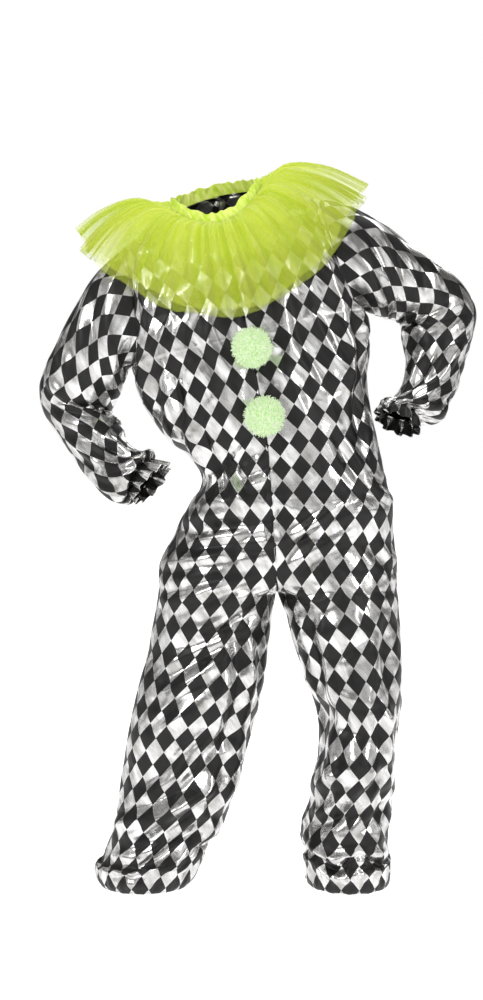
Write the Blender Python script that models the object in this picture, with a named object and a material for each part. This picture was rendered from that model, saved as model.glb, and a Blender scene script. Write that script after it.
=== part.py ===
"""A clown costume as it is worn: a loose harlequin jumpsuit, a gathered net collar and two pompoms.

The jumpsuit is cut as two fronts, two backs and two sleeves, each one piece from its top edge to its hem.
Right and left are the wearer's, so the right side lies towards -X. The front faces -Y and +Z is up.
The origin is the middle of the neck, at the height of the shoulder seams, where the wearer carries it.
Sizes in the tables are millimetres, and every object is built in metres.
"""

import math

import bmesh
import bpy
import numpy as np

MM = 0.001
SHARP = math.radians(50)

# Driving dimensions, in millimetres.
CLOTH_WALL = 1.5
NET_WALL = 1.0
HALF_SEAM = 0.2
SEAM_SHARE = 0.0006
CENTRE_REACH = 0.3
CROTCH_CLEARANCE = 1.1
LEAN_DEG = 14.2
YOKE_CENTRE = 4.0
SIDES = {"right": -1, "left": 1}
FACES = {"front": -1, "back": 1}

# The yoke, in the frame that leans with the shoulders.
NECK_HALF_WIDTH = 92.0
NECK_HALF_DEPTH = 78.0
NECK_SHIFT = 4.0
NECK_HEIGHT = {"front": -30.0, "side": 24.0, "back": 40.0}
NECK_SHARE = 0.27
NECK_STEPS = 3
TIP_DISTANCE = 212.0
TIP_HEIGHT = -26.0
RIDGE_DEPTH = 6.0
SHOULDER_ARCH = 3.0
ARMHOLE_HEIGHT = 222.0
ARMHOLE_DEPTH = 66.0
ARMHOLE_HOLLOW = 12.0
ARMHOLE_PULL = 2.5
YOKE_FULLNESS = 1.15
UNDERARM_DISTANCE = 238.0
ARMHOLE_STEPS = 10
UNDERARM_ROW = ARMHOLE_STEPS / (ARMHOLE_STEPS + 1)
SLEEVE_SEAM = 0.4
UNDERARM_EASE = 2.0

TORSO_ROUND = 2.4
WAIST_ROW = 3.5
WAIST_ROWS = 4.0
RISE_START = 7.0
CROTCH = 9.0
RISE_SQUARE = 3.0
RISE_REACH = 0.45
PANEL_STEPS = 6

SLEEVE_WAVES = 10
SLEEVE_TILT = 0.5
WRIST = 12.0
HEM = 20.0
HEM_WAVES = 12
HEM_LIFT = 3.5
ROW_SEAM = 0.02
COLLAR_WAVES = 32
COLLAR_LIFT = 9.0
BAND_WAVES = 18
BAND_LIFT = 1.2
BAND_SEAM = 1.2

POMPOM_RADIUS = 41.0
POMPOM_CORE = 32.0
POMPOM_CUTS = 3
POMPOM_FLAT = 0.72
POMPOM_FRONT = 0.45
POMPOM_UNEVEN = 2.0
POMPOM_STANDOFF = 1.6


def table(names, rows):
    """The rows as columns that are read by name."""
    return dict(zip(names.split(), np.array(rows, float).T))


# Level sections of the body, from the chest down to the crotch. Centre, right and left are points of the
# section in the picture plane, and front and back are its depths there.
TORSO = table(
    "centre_x centre_z right_x right_z left_x left_z front back",
    [
        (68, -252, -160, -312, 303, -196, 122, 112),
        (80, -312, -137, -360, 298, -262, 124, 110),
        (91, -373, -109, -410, 300, -332, 123, 108),
        (100, -436, -62, -458, 314, -408, 121, 107),
        (106, -498, -28, -510, 332, -484, 118, 108),
        (110, -560, -44, -562, 347, -556, 118, 116),
        (114, -622, -80, -626, 355, -622, 117, 124),
        (118, -684, -104, -680, 359, -680, 115, 126),
        (121, -742, -113, -734, 361, -736, 111, 122),
    ],
)

# Sections of each leg, from the crotch to the hem. Inner and outer are points at the inseam and at the side
# seam, y is the depth of the section's middle, and front and back are its reach from there.
LEG_COLUMNS = "inner_x inner_z outer_x outer_z y front back"
LEGS = {
    "right": table(
        LEG_COLUMNS,
        [
            (119, -742, -113, -734, 2, 112, 120),
            (110, -812, -122, -790, 0, 106, 110),
            (102, -872, -134, -852, -4, 102, 102),
            (92, -935, -150, -917, -8, 99, 96),
            (78, -995, -166, -982, -10, 96, 93),
            (62, -1055, -178, -1047, -9, 94, 92),
            (44, -1118, -189, -1112, -6, 92, 92),
            (26, -1172, -196, -1168, -2, 93, 94),
            (8, -1218, -207, -1216, 2, 97, 97),
            (-14, -1262, -229, -1264, 4, 101, 100),
            (-32, -1302, -242, -1306, 5, 102, 101),
            (-52, -1336, -231, -1338, 5, 88, 88),
            (-68, -1342, -216, -1344, 5, 74, 74),
        ],
    ),
    "left": table(
        LEG_COLUMNS,
        [
            (123, -742, 361, -736, 2, 112, 120),
            (150, -812, 366, -800, 0, 112, 114),
            (168, -880, 368, -868, -4, 114, 112),
            (188, -938, 368, -930, -8, 117, 113),
            (203, -992, 366, -988, -10, 119, 115),
            (206, -1046, 360, -1044, -9, 119, 116),
            (199, -1100, 354, -1100, -6, 117, 114),
            (186, -1152, 352, -1152, -2, 112, 110),
            (173, -1204, 353, -1204, 2, 107, 106),
            (175, -1252, 351, -1252, 4, 104, 103),
            (176, -1298, 350, -1300, 5, 102, 101),
            (182, -1334, 346, -1336, 5, 90, 90),
            (194, -1342, 334, -1344, 5, 76, 76),
        ],
    ),
}

# Sections of each sleeve after the armhole. Outer and inner are the points at the top and at the underarm
# seam, y is the section's middle and depth is its half depth. The cloth is drawn in by the elastic at the
# wrist, and the last sections are the frill beyond it. Gather is the height of its waves, as a share.
SLEEVE_COLUMNS = "outer_x outer_z inner_x inner_z y depth gather"
SLEEVES = {
    "right": table(
        SLEEVE_COLUMNS,
        [
            (-240, -118, -178, -302, 6, 76, 0),
            (-288, -188, -187, -320, 16, 78, 0),
            (-325, -254, -198, -342, 30, 78, 0),
            (-351, -308, -208, -366, 46, 76, 0),
            (-357, -348, -214, -384, 58, 74, 0),
            (-347, -386, -205, -398, 50, 70, 0),
            (-317, -430, -190, -420, 30, 66, 0),
            (-282, -480, -180, -440, 4, 62, 0.01),
            (-250, -522, -160, -456, -22, 61, 0.03),
            (-214, -558, -138, -465, -44, 59, 0.06),
            (-187, -572, -123, -471, -57, 52, 0.09),
            (-165, -558, -127, -490, -64, 36, 0.09),
            (-160, -564, -114, -495, -74, 42, 0.12),
            (-153, -572, -93, -501, -84, 47, 0.14),
        ],
    ),
    "left": table(
        SLEEVE_COLUMNS,
        [
            (264, 20, 304, -184, 6, 76, 0),
            (324, -2, 322, -189, 16, 78, 0),
            (380, -42, 338, -193, 30, 78, 0),
            (438, -78, 354, -197, 46, 76, 0),
            (492, -116, 368, -203, 60, 74, 0),
            (522, -167, 378, -213, 68, 73, 0),
            (519, -221, 382, -237, 58, 69, 0),
            (504, -278, 381, -282, 34, 64, 0),
            (484, -336, 371, -326, 6, 61, 0.02),
            (463, -374, 350, -356, -20, 60, 0.05),
            (442, -403, 328, -373, -40, 54, 0.08),
            (399, -405, 326, -384, -50, 37, 0.09),
            (399, -419, 321, -391, -61, 44, 0.12),
            (396, -437, 317, -400, -72, 49, 0.14),
        ],
    ),
}

# Profiles of the net layers towards the rim, in the leaning frame: how far each lies from the neck's middle
# and how high, to the front, to the left, to the back and to the right.
COLLAR_COLUMNS = "front_y front_z left_x left_z back_y back_z right_x right_z"
COLLARS = {
    "collar_upper": table(
        COLLAR_COLUMNS,
        [
            (122, -36, 158, 60, 124, 42, 152, 65),
            (146, -112, 234, 36, 150, -46, 226, 58),
            (158, -206, 302, -18, 160, -134, 288, 30),
        ],
    ),
    "collar_lower": table(
        COLLAR_COLUMNS,
        [
            (113, -44, 156, 45, 114, 27, 152, 49),
            (133, -122, 230, 12, 138, -56, 222, 32),
            (143, -218, 294, -44, 148, -148, 284, -8),
        ],
    ),
}

# How far the gathered edge of each layer lies from the neckline, outwards and up.
NET_SEAM = {"collar_upper": (2.8, 5.9), "collar_lower": (2.5, 4.0)}

# The neck band, from above its seam to its top edge.
BAND = table(
    COLLAR_COLUMNS,
    [
        (77, -16.5, 95, 38, 77, 53.5, 86, 40),
        (76, -5, 93, 50, 75, 65.5, 83, 53),
    ],
)

# The largest folds of the fronts and backs: a soft ridge, or a trough where the height is below nothing,
# between two points of the picture plane.
FOLD_COLUMNS = "from_x from_z to_x to_z width height"
FOLDS = {
    "front": table(
        FOLD_COLUMNS,
        [
            (-150, -300, -20, -470, 34, -15),
            (-100, -300, 20, -500, 30, 11),
            (-40, -520, 80, -470, 30, 13),
            (-50, -575, 90, -545, 28, -13),
            (-80, -640, 95, -610, 30, 13),
            (290, -200, 240, -340, 34, -15),
            (295, -300, 250, -480, 30, 13),
            (340, -560, 180, -600, 32, -14),
            (350, -650, 170, -650, 30, 11),
            (-100, -870, 90, -780, 32, 14),
            (-120, -1010, 60, -900, 34, -14),
            (-170, -1130, 40, -1000, 32, 14),
            (-190, -1220, 20, -1110, 30, -14),
            (-215, -1280, -10, -1190, 30, 14),
            (165, -830, 290, -790, 32, -14),
            (190, -970, 310, -1020, 32, 14),
            (190, -1110, 320, -1060, 30, -14),
            (180, -1190, 340, -1160, 28, 14),
            (180, -1262, 345, -1250, 26, -13),
        ],
    ),
    "back": table(
        FOLD_COLUMNS,
        [
            (-150, -310, 60, -470, 34, -15),
            (290, -210, 150, -420, 34, -15),
            (-40, -540, 150, -500, 32, 17),
            (-60, -600, 330, -570, 30, -14),
            (-95, -700, 90, -660, 34, -13),
            (350, -700, 150, -660, 34, -13),
            (-120, -850, 90, -800, 32, 14),
            (-150, -1000, 70, -950, 34, -14),
            (-185, -1150, 30, -1090, 32, 14),
            (-215, -1250, 0, -1220, 28, -13),
            (160, -850, 360, -830, 32, 14),
            (200, -1000, 360, -970, 34, -14),
            (185, -1160, 350, -1120, 32, 14),
            (180, -1250, 350, -1230, 28, -13),
        ],
    ),
}

# The largest folds of a sleeve, on its cloth laid flat: across is the way round from the top, towards the
# front, and down is the way from the armhole.
SLEEVE_GIRTH = 450.0
SLEEVE_ROW = 38.0
SLEEVE_FOLDS = table(
    "from_across from_down to_across to_down width height",
    [
        (60, 40, 190, 150, 26, -9),
        (150, 30, 215, 130, 24, 8),
        (130, 200, 320, 200, 34, -8),
        (130, 262, 320, 262, 30, 7),
        (100, 300, 200, 390, 24, -8),
        (260, 300, 350, 390, 24, -8),
        (20, 250, 110, 300, 26, 8),
    ],
)

# Where each pompom is sewn on the front seam.
POMPOMS = {"pompom_upper": (71, -272), "pompom_lower": (95, -404)}

MATERIALS = {
    "harlequin": ((0.32, 0.32, 0.33), 0.35, 0.4),
    "net": ((0.62, 0.86, 0.10), 0.7, 0.0),
    "band": ((0.70, 0.90, 0.12), 0.45, 0.0),
    "pompom": ((0.45, 0.90, 0.38), 0.8, 0.0),
}


def spline(values, at):
    """The values along the first axis as a smooth curve, read at row numbers."""
    last = len(values) - 1
    at = np.clip(at, 0, last)
    row = np.minimum(at.astype(int), last - 1)
    part = (at - row).reshape(at.shape + (1,) * (values.ndim - 1))
    before, first, second, after = (values[np.clip(row + step, 0, last)] for step in (-1, 0, 1, 2))
    bend = 3 * (first - second) + after - before
    turn = 2 * before - 5 * first + 4 * second - after
    return first + 0.5 * part * (second - before + part * (turn + part * bend))


def read(columns, at):
    """Every column of a table, read at row numbers."""
    return {name: spline(values, at) for name, values in columns.items()}


def smooth(value):
    value = np.clip(value, 0, 1)
    return value * value * (3 - 2 * value)


def mix(first, second, share):
    return first + (second - first) * share


def leaned(x, y, z):
    """Points of the leaning frame as points of the part."""
    angle = math.radians(LEAN_DEG)
    return np.stack(
        [x * math.cos(angle) - z * math.sin(angle), y, x * math.sin(angle) + z * math.cos(angle)], -1
    )


def upright(points):
    """Points of the part as x, y and z of the leaning frame."""
    angle = math.radians(LEAN_DEG)
    x, y, z = points[..., 0], points[..., 1], points[..., 2]
    return x * math.cos(angle) + z * math.sin(angle), y, z * math.cos(angle) - x * math.sin(angle)


def near_centre(across):
    return 1 - smooth(across / CENTRE_REACH)


def torso_points(side, face, across, row):
    """Points of the body from the centre line (across 0) to the side seam (across 1)."""
    at = read(TORSO, row)
    drift = smooth((row - WAIST_ROW) / WAIST_ROWS)
    reach = np.sin(across * math.pi / 2) ** mix(2 / TORSO_ROUND, 2, drift)
    depth = (1 - np.clip(reach, 0, 1) ** TORSO_ROUND) ** (1 / TORSO_ROUND)
    x = mix(at["centre_x"], at[side + "_x"], reach)
    z = mix(at["centre_z"], at[side + "_z"], reach)
    return np.stack([x, FACES[face] * at[face] * depth, z], -1)


def leg_points(side, face, across, row):
    """Points of a leg from the inseam (across 0) to the side seam (across 1)."""
    at = read(LEGS[side], row)
    reach = (1 - np.cos(across * math.pi)) / 2
    x = mix(at["inner_x"], at["outer_x"], reach)
    z = mix(at["inner_z"], at["outer_z"], reach)
    y = at["y"] + FACES[face] * at[face] * np.sin(across * math.pi)
    return np.stack([x, y, z], -1)


def armhole(part):
    """Distance from the centre, depth and height of the armhole, from the shoulder tip to the underarm."""
    turn = part * math.pi
    distance = mix(TIP_DISTANCE, UNDERARM_DISTANCE, part**2) - ARMHOLE_HOLLOW * np.sin(turn)
    depth = ARMHOLE_DEPTH * np.sin(turn)
    height = TIP_HEIGHT - ARMHOLE_HEIGHT * (1 - np.cos(turn)) / 2
    return distance, depth, height


def neckline_chords(around):
    """The neckline as the straight steps that the fronts and backs make of it, from the front leftwards."""
    turn = np.abs(np.mod(around + 0.5, 1) - 0.5) * 4
    step = np.clip(np.floor(turn * NECK_STEPS), 0, 2 * NECK_STEPS - 1)
    ends = []
    for knot in (step, step + 1):
        share = knot / NECK_STEPS
        fore = np.where(share <= 1, share, 2 - share)
        side = np.where(around < 0.5, 1, -1)
        front, back = (top_edge_point(side, face, fore * NECK_SHARE) for face in FACES)
        ends.append(np.where((share <= 1)[..., None], front, back))
    return mix(ends[0], ends[1], (turn * NECK_STEPS - step)[..., None])


def top_edge(outward_sign, face, across):
    """The neckline and then the shoulder seam: distance from the centre, depth and height."""
    turn = np.clip(across / NECK_SHARE, 0, 1) * math.pi / 2
    along = np.clip((across - NECK_SHARE) / (1 - NECK_SHARE), 0, 1)
    neck_distance = NECK_HALF_WIDTH * np.sin(turn) + outward_sign * NECK_SHIFT
    distance = mix(neck_distance, TIP_DISTANCE, along)
    depth = FACES[face] * NECK_HALF_DEPTH * np.cos(turn) + RIDGE_DEPTH * along
    height = mix(mix(NECK_HEIGHT["side"], NECK_HEIGHT[face], np.cos(turn) ** 2), TIP_HEIGHT, along)
    height = height + SHOULDER_ARCH * np.sin(along * math.pi)
    return distance, depth + FACES[face] * HALF_SEAM * (across >= NECK_SHARE), height


def top_edge_point(outward_sign, face, across):
    distance, depth, height = top_edge(outward_sign, face, across)
    return leaned(YOKE_CENTRE + outward_sign * distance, depth, height)


def yoke_points(side, face, across, row):
    """Points from the neckline and shoulder seam (row 0) down to the chest (row 1)."""
    part = np.clip(row / UNDERARM_ROW, 0, 1)
    below = np.clip((row - UNDERARM_ROW) / (1 - UNDERARM_ROW), 0, 1)
    chest_x, chest_y, chest_z = upright(torso_points(side, face, across, np.zeros_like(row)))
    side_z = upright(torso_points(side, face, np.ones_like(across), np.zeros_like(row)))[2]
    edge_distance, edge_depth, edge_height = armhole(part)
    drop = np.clip((edge_height - side_z) / (TIP_HEIGHT - side_z), 0, 1)
    turn = mix(np.arccos(drop), math.pi / 2, below)
    distance, depth, height = top_edge(SIDES[side], face, across)
    chest_distance = SIDES[side] * (chest_x - YOKE_CENTRE)
    distance = mix(distance, chest_distance, 1 - np.cos(turn))
    y = mix(depth, chest_y, np.sin(turn) ** YOKE_FULLNESS)
    z = mix(chest_z, height, np.cos(turn))
    pull = across**ARMHOLE_PULL * (1 - below)
    distance = distance + pull * (edge_distance - mix(TIP_DISTANCE, chest_distance, 1 - np.cos(turn)))
    y = y + pull * FACES[face] * edge_depth
    return leaned(YOKE_CENTRE + SIDES[side] * distance, y, z)


def body_points(side, face, across, row):
    """A front or a back: rows 0 to 1 are the yoke, 1 to the crotch the body, and then the leg."""
    torso_row = np.clip(row, 1, CROTCH) - 1
    leg_row = np.clip(row, CROTCH, None) - CROTCH
    on_leg = smooth((row - RISE_START) * 4)
    across = mix(across * (1 - SEAM_SHARE), SEAM_SHARE + across * (1 - 2 * SEAM_SHARE), on_leg)
    rise = np.clip((row - RISE_START) / (CROTCH - RISE_START), 0, 1)
    at_centre = 1 - (1 - rise**RISE_SQUARE) ** (1 / RISE_SQUARE)
    onto_leg = mix(at_centre, smooth(rise), smooth(across / RISE_REACH))
    body = torso_points(side, face, across, torso_row)
    leg = leg_points(side, face, across, leg_row)
    body[..., :2] = mix(body[..., :2], leg[..., :2], onto_leg[..., None])
    body = np.where((row > CROTCH)[..., None], leg, body)
    clearance = mix(HALF_SEAM, CROTCH_CLEARANCE, on_leg) * near_centre(across) * (row < CROTCH + 1)
    body[..., 0] += SIDES[side] * clearance
    yoke = yoke_points(side, face, across, np.clip(row, 0, 1))
    yoke[..., 0] += SIDES[side] * HALF_SEAM * near_centre(across)
    return np.where((row < 1)[..., None], yoke, body)


def fold_lift(flat, folds):
    """How far the folds of a table lift each point of the cloth off the plain form."""
    lift = np.zeros(flat.shape[:-1])
    ends = [name[5:] for name in folds if name.startswith("from_")]
    starts = np.stack([folds["from_" + name] for name in ends], -1)
    stops = np.stack([folds["to_" + name] for name in ends], -1)
    for start, stop, width, height in zip(starts, stops, folds["width"], folds["height"]):
        line = stop - start
        along = np.clip((flat - start) @ line / (line @ line), 0, 1)
        away = np.linalg.norm(flat - start - along[..., None] * line, axis=-1)
        taper = np.sqrt(np.sin(math.pi * mix(0.06, 0.94, along)))
        lift += height * taper * np.exp(-((away / width) ** 2))
    return lift


def sleeve_ring(columns, around):
    """The rings of a sleeve table, each square to the run of their middles; around is 0 at the top."""
    outer = np.stack([columns["outer_x"], columns["y"], columns["outer_z"]], -1)
    inner = np.stack([columns["inner_x"], columns["y"], columns["inner_z"]], -1)
    middle = (outer + inner) / 2
    half = (outer - inner) / 2
    run = np.gradient(middle, axis=0) * [1, SLEEVE_TILT, 1]
    deep = np.cross(run, half)
    deep *= (columns["depth"] / np.linalg.norm(deep, axis=1) * -np.sign(deep[:, 1]))[:, None]
    ahead, aside = np.cos(around)[..., None], np.sin(around)[..., None]
    return middle[:, None] + half[:, None] * ahead + deep[:, None] * aside


def armhole_ring(side, around):
    """The sleeve's first ring, a seam's gap beyond the edge of the front and the back."""
    row = 2 * np.minimum(around, 1 - around) * UNDERARM_ROW
    edge = np.ones_like(row)
    front_share = ((1 + np.sign(0.5 - around)) / np.where(around == 0, 4, 2))[..., None]
    front, back = (body_points(side, face, edge, row) for face in FACES)
    front_out, back_out = (panel_normals(side, face, edge, row) for face in FACES)
    away = leaned(SIDES[side], 0, 0)
    edge_wall = np.clip(mix(back_out, front_out, front_share) @ away, 0, 1) * CLOTH_WALL / 2
    ease = UNDERARM_EASE * smooth(3 * row / UNDERARM_ROW - 2)
    return mix(back, front, front_share) + away * (SLEEVE_SEAM + edge_wall + ease)[..., None]


def sleeve_points(side, around, row):
    """A sleeve and its frill: row 0 is the armhole, and the elastic is at the row of the wrist."""
    turns = around[:1] * 2 * math.pi
    rings = sleeve_ring(SLEEVES[side], turns)
    middles = rings.mean(axis=1, keepdims=True)
    gather = SLEEVES[side]["gather"][:, None, None]
    rings = rings + (rings - middles) * gather * np.cos(turns * SLEEVE_WAVES)[..., None]
    rings = np.concatenate([armhole_ring(side, around[:1]), rings])
    return spline(rings, row[:, 0])


def collar_points(columns, around, row):
    """Points of a ring that hangs round the neck: around 0 is the front, and runs to the left."""
    at = read(columns, row)
    turn = around * 2 * math.pi
    ahead, aside = np.cos(turn), np.sin(turn)
    x = YOKE_CENTRE + aside * np.where(aside > 0, at["left_x"], at["right_x"])
    y = -ahead * np.where(ahead > 0, at["front_y"], at["back_y"])
    side_height = np.where(aside > 0, at["left_z"], at["right_z"])
    z = mix(side_height, np.where(ahead > 0, at["front_z"], at["back_z"]), ahead**2)
    return leaned(x, y, z)


def collar_waves(around, out):
    """The lift of the collar's gathers: uneven in width and height, and deeper towards the rim."""
    turn = around * 2 * math.pi
    uneven = 1 + 0.25 * np.sin(3 * turn + 1) + 0.2 * np.sin(7 * turn)
    phase = COLLAR_WAVES * turn + 0.5 * np.sin(5 * turn) + 0.4 * np.sin(2 * turn)
    return mix(0.08, 1, out) * COLLAR_LIFT * uneven * np.sin(phase)


def outward(points):
    """Unit vectors out of a tube of points: rows along it, and columns once round it."""
    across = np.roll(points, -1, axis=1) - np.roll(points, 1, axis=1)
    out = np.cross(np.gradient(points, axis=0), across)
    out *= np.sign((out * (points - points.mean(axis=1, keepdims=True))).sum())
    return unit(out)


def unit(vectors):
    return vectors / np.linalg.norm(vectors, axis=-1, keepdims=True)


def radial(points):
    """Unit vectors out of the middle of each ring, which two pieces that meet at a ring share."""
    return unit(points - points.mean(axis=1, keepdims=True))


def panel_normals(side, face, across, row):
    """Normals of a panel, from points close beside each grid point, so that neighbours agree at a seam."""
    beside, along, lift = 0.04, 0.001, 0.08
    total = 0
    for shift in (-lift, lift):
        level = np.clip(row + shift, 0.01, None)
        low, high = (body_points(side, face, across, level + move) for move in (along, -along))
        outer, inner = (
            body_points(side, face, np.clip(across + move, 0, 1), level) for move in (beside, -beside)
        )
        total = total + unit(np.cross(low - high, outer - inner))
    total[..., 1] *= (row > 0) | (across < NECK_SHARE)
    return unit(total) * -SIDES[side] * FACES[face]


def make_wall(name, points, normals, wall, closed, material):
    """One closed solid: the grid moved out and in by half the wall, its edges joined by a rim.

    Both layers are split along the same diagonals, the shorter ones, so that the wall is even.
    """
    rows, columns = points.shape[:2]
    layers = [points + normals * wall / 2, points - normals * wall / 2]
    built = bmesh.new()
    grids = [[[built.verts.new(point * MM) for point in line] for line in layer] for layer in layers]
    wrap = columns if closed else columns - 1
    for row in range(rows - 1):
        for column in range(wrap):
            beside = (column + 1) % columns
            corners = [(row, column), (row + 1, column), (row + 1, beside), (row, beside)]
            first, second, third, fourth = (points[corner] for corner in corners)
            if np.linalg.norm(third - first) > np.linalg.norm(fourth - second):
                corners = corners[1:] + corners[:1]
            for half in (corners[:3], corners[2:] + corners[:1]):
                built.faces.new([grids[0][i][j] for i, j in half])
                built.faces.new([grids[1][i][j] for i, j in half[::-1]])
    edge = [(0, column) for column in range(columns)]
    foot = [(rows - 1, column) for column in range(columns)]
    if closed:
        loops = [edge, foot[::-1]]
    else:
        right = [(row, columns - 1) for row in range(1, rows - 1)]
        left = [(row, 0) for row in range(1, rows - 1)]
        loops = [edge + right + foot[::-1] + left[::-1]]
    for loop in loops:
        for (i, j), (k, m) in zip(loop, loop[1:] + loop[:1]):
            built.faces.new([grids[0][i][j], grids[0][k][m], grids[1][k][m], grids[1][i][j]])
    bmesh.ops.recalc_face_normals(built, faces=built.faces)
    if built.calc_volume(signed=True) < 0:
        bmesh.ops.reverse_faces(built, faces=built.faces)
    return make_object(name, built, material)


def make_object(name, built, material):
    mesh = bpy.data.meshes.new(name)
    built.to_mesh(mesh)
    built.free()
    mesh.shade_smooth()
    mesh.set_sharp_from_angle(angle=SHARP)
    mesh.materials.append(bpy.data.materials[material])
    made = bpy.data.objects.new(name, mesh)
    bpy.context.scene.collection.objects.link(made)
    return made


def panel_columns():
    """Where the columns of a panel stand, from the centre to the side seam."""
    neck = np.linspace(0, NECK_SHARE, NECK_STEPS + 1)[:-1]
    return np.concatenate([neck, np.linspace(NECK_SHARE, 1, PANEL_STEPS + 1)])


def make_panel(face, side):
    """A front or a back, one piece from the shoulder to the hem of its leg."""
    across = panel_columns()
    yoke = np.linspace(0, 1, ARMHOLE_STEPS + 2)
    body = np.arange(1.8, RISE_START, 0.75)
    rise = RISE_START + np.array([0.0, 0.7, 1.25, 1.6, 1.85, 2.0])
    leg = np.append(np.arange(CROTCH + 0.8, HEM - 0.4, 0.8), HEM - ROW_SEAM)
    across, rows = np.meshgrid(across, np.concatenate([yoke, body, rise, leg]))
    points = body_points(side, face, across, rows)
    normals = panel_normals(side, face, across, rows)
    calm = smooth((across - 0.08) / 0.2) * smooth((1 - across) / 0.2)
    lift = calm * fold_lift(points[..., [0, 2]], FOLDS[face])
    make_wall(f"{face}_{side}", points + normals * lift[..., None], normals, CLOTH_WALL, False, "harlequin")


def chords(across, knot_points):
    """Each row of a panel's points as straight steps between its columns, read at other columns."""
    lines = [
        [np.interp(line_across, panel_columns(), line_points[:, axis]) for axis in range(3)]
        for line_across, line_points in zip(across, knot_points)
    ]
    return np.moveaxis(np.array(lines), 1, 2)


def make_hem(side):
    """The cased hem of a leg, drawn in by its elastic: one ring, front and back."""
    columns = 4 * HEM_WAVES
    around, rows = np.meshgrid(np.arange(columns) / columns, [HEM + ROW_SEAM, HEM + 0.5, HEM + 1])
    across = 1 - np.abs(1 - 2 * around)
    knots, knot_rows = np.meshgrid(panel_columns(), rows[:, 0])
    front, back = (chords(across, body_points(side, face, knots, knot_rows)) for face in FACES)
    points = np.where((around < 0.5)[..., None], front, back)
    normals = outward(points)
    wave = HEM_LIFT * (rows - rows[0]) * np.cos(around * 2 * math.pi * HEM_WAVES)
    make_wall(f"hem_{side}", points + normals * wave[..., None], normals, CLOTH_WALL, True, "harlequin")


def make_sleeve(side):
    columns = 2 * SLEEVE_WAVES
    rows = [0, 0.5, 1, 2, 3, 3.7, 4.3, 4.9, 5.5, 6.2, 7, 8, 9, 10, 11, 11.5, WRIST - ROW_SEAM]
    around, rows = np.meshgrid(np.arange(columns) / columns, rows)
    points = sleeve_points(side, around, rows)
    flat = np.stack([around * SLEEVE_GIRTH, rows * SLEEVE_ROW], -1)
    points = points + outward(points) * fold_lift(flat, SLEEVE_FOLDS)[..., None]
    normals = outward(points)
    normals[[0, -1]] = radial(points[[0, -1]])
    make_wall(f"sleeve_{side}", points, normals, CLOTH_WALL, True, "harlequin")


def make_cuff(side):
    """The frill of the sleeve, beyond its elastic."""
    columns = 4 * SLEEVE_WAVES
    around, rows = np.meshgrid(np.arange(columns) / columns, [WRIST + ROW_SEAM, WRIST + 1, WRIST + 2])
    points = sleeve_points(side, around, rows)
    points[0, 1::2] = (points[0, ::2] + np.roll(points[0, ::2], -1, axis=0)) / 2
    normals = outward(points)
    normals[0] = radial(points[:1])[0]
    make_wall(f"cuff_{side}", points, normals, CLOTH_WALL, True, "harlequin")


def make_collar(name):
    """One layer of the net collar."""
    columns = 4 * COLLAR_WAVES
    around, rows = np.meshgrid(np.arange(columns) / columns, np.linspace(0, 3, 4))
    points = collar_points(COLLARS[name], around, rows - 1)
    beside, above = NET_SEAM[name]
    seam = neckline_chords(around[:1])
    up = leaned(0, 0, 1)
    aside = radial(seam)
    aside = unit(aside - up * (aside @ up)[..., None])
    points[0] = (seam + aside * beside + up * above)[0]
    points = points + outward(points) * collar_waves(around, rows / 3)[..., None]
    make_wall(name, points, outward(points), NET_WALL, True, "net")


def make_band():
    columns = 2 * BAND_WAVES
    around, rows = np.meshgrid(np.arange(columns) / columns, np.linspace(0, 2, 3))
    points = collar_points(BAND, around, rows - 1)
    points[0] = neckline_chords(around[0]) + leaned(0, 0, BAND_SEAM)
    normals = outward(points)
    crinkle = BAND_LIFT * rows / 2 * np.cos(around * 2 * math.pi * BAND_WAVES)
    points = points + normals * crinkle[..., None]
    make_wall("neck_band", points, normals, CLOTH_WALL, True, "band")


def make_pompom(name, place):
    """A ball of cut locks, sewn flat against the front opening."""
    x, z = place
    cloth_y = body_points("left", "front", np.array([[0.0]]), chest_row(z))[0, 0, 1]
    back = cloth_y - POMPOM_STANDOFF
    built = bmesh.new()
    bmesh.ops.create_cube(built, size=2)
    bmesh.ops.subdivide_edges(built, edges=built.edges, cuts=POMPOM_CUTS, use_grid_fill=True)
    for vert in built.verts:
        vert.co = vert.co.normalized() * POMPOM_CORE
    built.normal_update()
    middle = back - POMPOM_CORE * POMPOM_FLAT
    locks = [face for face in built.faces if face.calc_center_median().y < POMPOM_CORE * POMPOM_FRONT]
    for number, face in enumerate(locks):
        out = face.calc_center_median().normalized()
        length = POMPOM_RADIUS - POMPOM_CORE + POMPOM_UNEVEN * math.sin(number * 2.4)
        tip = bmesh.ops.poke(built, faces=[face])["verts"][0]
        tip.co = out * (POMPOM_CORE + length)
    for vert in built.verts:
        vert.co.y = min(vert.co.y + middle, back)
        vert.co.x += x
        vert.co.z += z
        vert.co *= MM
    bmesh.ops.recalc_face_normals(built, faces=built.faces)
    make_object(name, built, "pompom")


def chest_row(height):
    """The body's row number at a height of the centre line."""
    return np.array([[1 + np.interp(-height, -TORSO["centre_z"], np.arange(len(TORSO["centre_z"])))]])


def make_materials():
    for name, (colour, roughness, metallic) in MATERIALS.items():
        material = bpy.data.materials.new(name)
        material.use_nodes = True
        shader = material.node_tree.nodes["Principled BSDF"]
        shader.inputs["Base Color"].default_value = (*colour, 1)
        shader.inputs["Roughness"].default_value = roughness
        shader.inputs["Metallic"].default_value = metallic


def main():
    for old in list(bpy.data.objects):
        bpy.data.objects.remove(old)
    make_materials()
    for side in SIDES:
        for face in FACES:
            make_panel(face, side)
        make_hem(side)
        make_sleeve(side)
        make_cuff(side)
    for name in COLLARS:
        make_collar(name)
    make_band()
    for name, place in POMPOMS.items():
        make_pompom(name, place)


main()
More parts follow.
